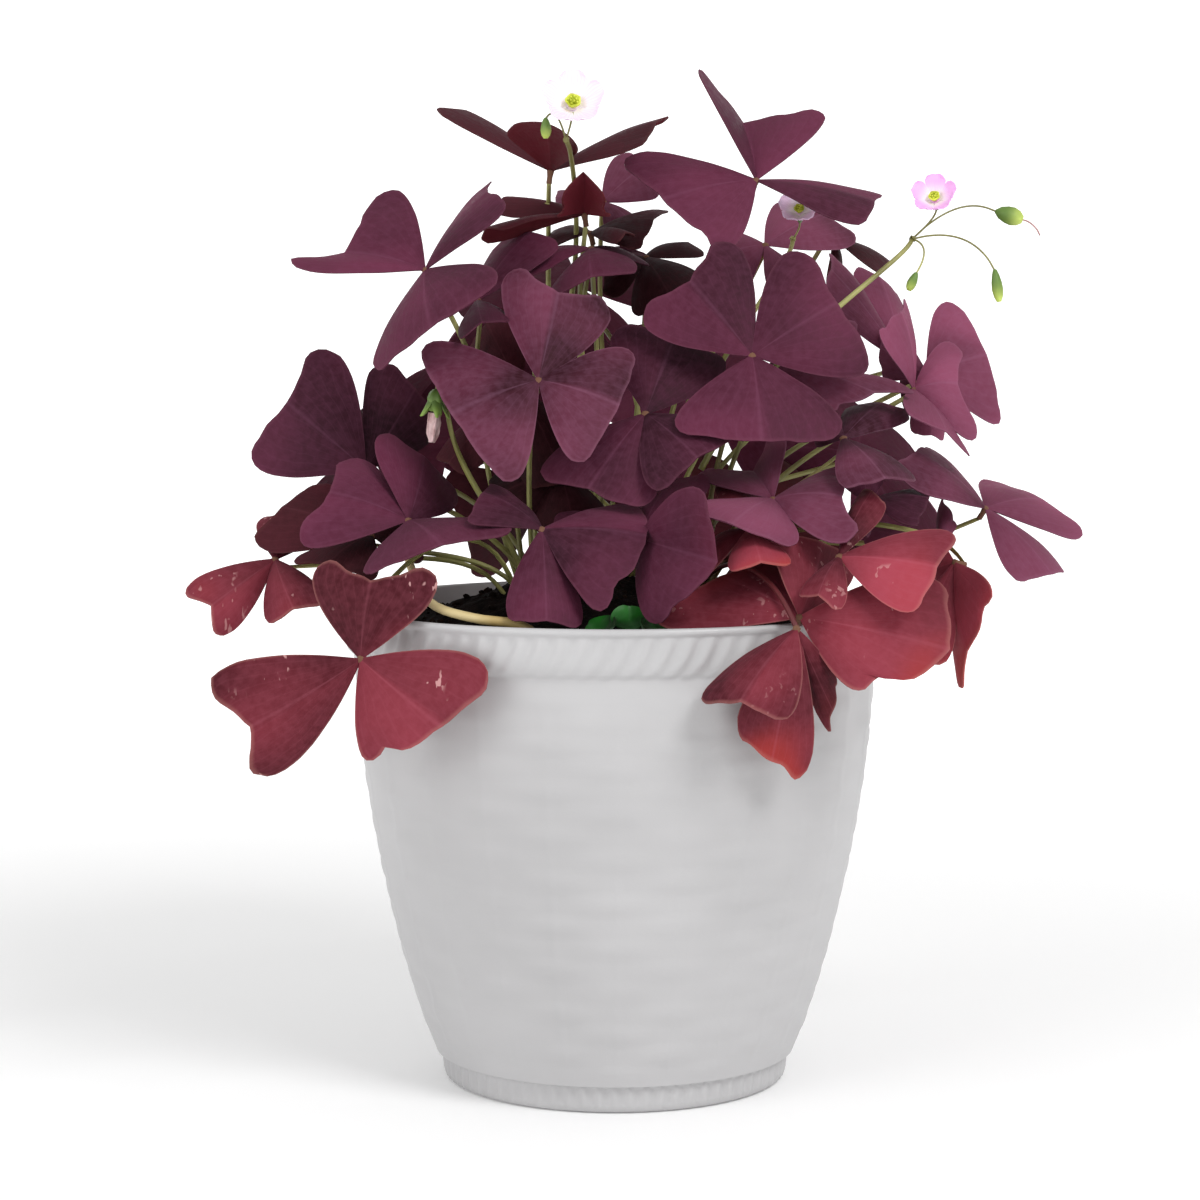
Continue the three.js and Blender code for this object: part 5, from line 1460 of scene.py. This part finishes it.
def make_seedling():
    """A stem and three round leaves, each on its own short stalk."""
    x, y = SEEDLING_ROOT
    fork = Vector((x, y, SEEDLING_FORK))
    root = Vector((x, y, soil_height(x, y) - 5))
    parts = [tube([root, fork - UP * 3, fork], SEEDLING_STEM, 10)]
    for number, (middle, facing, radius) in enumerate(SEEDLING_LEAVES):
        centre, normal = Vector(middle), Vector(facing).normalized()
        outward = centre - fork
        outward = (outward - normal * outward.dot(normal)).normalized()
        parts.append(seedling_leaf(centre, normal, outward, radius, number * 7.7))
        places = [fork, fork.lerp(centre, 0.5) - normal * 0.4, centre - normal * 0.7]
        parts.append(tube(places, SEEDLING_STALK, 8))
    seedling = join(parts)
    wear(seedling, SEEDLING)
    face_outwards(seedling)
    smooth(seedling, 60)
    bring_in(seedling, "green_seedling", "seedling", "seedling")


# ------------------------------------------------------------------ studio
# The studio's measures are in metres.
WHITE = (1, 1, 1, 1)
FLOOR_SPAN, FLOOR_WIDTH = (-3, 4), 5
FLOOR_BEND = 2  # the floor curves up into a wall from here back
FLOOR_LEVEL = -0.0004  # a hair under the pot
FLOOR_GLOW_NEAR, FLOOR_GLOW_FAR = (0.22, 0.09), (1.4, 0.62)  # (distance from the pot, strength)
ROOM_LIGHT = 0.66
LAMPS = [("key light", (0.9, -1.1, 1.35), 15.5, 0.7), ("front fill", (-1.5, -1.3, 0.8), 11, 1.2)]
LAMPS_FACE = Vector((0, 0, 0.15))


def floor_material():
    """A pale floor that glows as painted light, more brightly away from the pot."""
    material, nodes, shader = new_material("plain pale floor")
    shader["Base Color"].default_value = (0.93, 0.93, 0.93, 1)
    shader["Emission Color"].default_value = WHITE
    distance = nodes.add("ShaderNodeVectorMath", operation="LENGTH")
    nodes.feed(distance.inputs[0], nodes.own_place())
    (near, dim), (far, bright) = FLOOR_GLOW_NEAR, FLOOR_GLOW_FAR
    # Painted light: the floor glows, dimly near the pot and brighter further off.
    nodes.feed(shader["Emission Strength"],
               nodes.spread(distance.outputs["Value"], near, far, dim, bright))
    shader["Roughness"].default_value = 0.9
    return material


def make_studio_floor():
    """A sheet that lies under the pot and curves up behind it."""
    front, back = FLOOR_SPAN
    floor = grid(4, 40)
    for vertex, x, share in sheet_places(floor):
        run = share * (back - front) + front
        rise = max(0, run - FLOOR_BEND) ** 2 * 0.5
        vertex.co = Vector((x * FLOOR_WIDTH, run, rise + FLOOR_LEVEL))
    floor.name = "studio_floor"
    wear(floor, floor_material())
    smooth(floor, 60)


def make_room():
    """A soft white light from all round, behind a background that is plain white to the camera."""
    world = bpy.data.worlds.new("soft white room")
    bpy.context.scene.world = world
    world.use_nodes = True
    background = world.node_tree.nodes["Background"]
    background.inputs["Color"].default_value = WHITE
    background.inputs["Strength"].default_value = ROOM_LIGHT
    nodes = Nodes(world.node_tree)
    seen = nodes.add("ShaderNodeBackground")
    seen.inputs["Color"].default_value = WHITE
    blend = nodes.add("ShaderNodeMixShader")
    to_camera = nodes.add("ShaderNodeLightPath").outputs["Is Camera Ray"]
    for socket, given in zip(blend.inputs, (to_camera, background.outputs[0], seen.outputs[0])):
        nodes.feed(socket, given)
    nodes.feed(world.node_tree.nodes["World Output"].inputs["Surface"], blend.outputs[0])


def make_lamps():
    """Square lamps that face the plant."""
    for name, place, power, size in LAMPS:
        lamp = bpy.data.lights.new(name, "AREA")
        lamp.energy = power
        lamp.size = size
        holder = bpy.data.objects.new(name, lamp)
        holder.location = place
        holder.rotation_euler = (LAMPS_FACE - Vector(place)).to_track_quat("-Z", "Y").to_euler()
        bpy.context.scene.collection.objects.link(holder)


# The camera's place, lens and sensor are in millimetres, and its dip below level in degrees.
CAMERA_PLACE = (-4.9, -990, 249)
CAMERA_DIP = 5.27
CAMERA_LENS, CAMERA_SENSOR = 90.4, 36


def make_camera():
    """A camera that looks at the front of the plant from a little above."""
    view = bpy.data.cameras.new("front camera")
    view.lens, view.sensor_width = CAMERA_LENS, CAMERA_SENSOR
    view.clip_start, view.clip_end = 0.05, 50
    camera = bpy.data.objects.new("front camera", view)
    camera.location = mm(*CAMERA_PLACE)
    camera.rotation_euler = (math.radians(90 - CAMERA_DIP), 0, 0)
    bpy.context.scene.collection.objects.link(camera)
    bpy.context.scene.camera = camera


bpy.context.scene.view_settings.view_transform = "Standard"
make_camera()
make_studio_floor()
make_room()
make_lamps()
leaves = read_leaves()
make_pot_wall()
make_pot_floor()
make_soil()
make_leaves(leaves)
make_stalks(leaves)
make_bent_stalk(leaves)
for umbel in UMBELS:
    make_petals(umbel)
    make_centre(umbel)
make_spent_petals()
make_seedling()
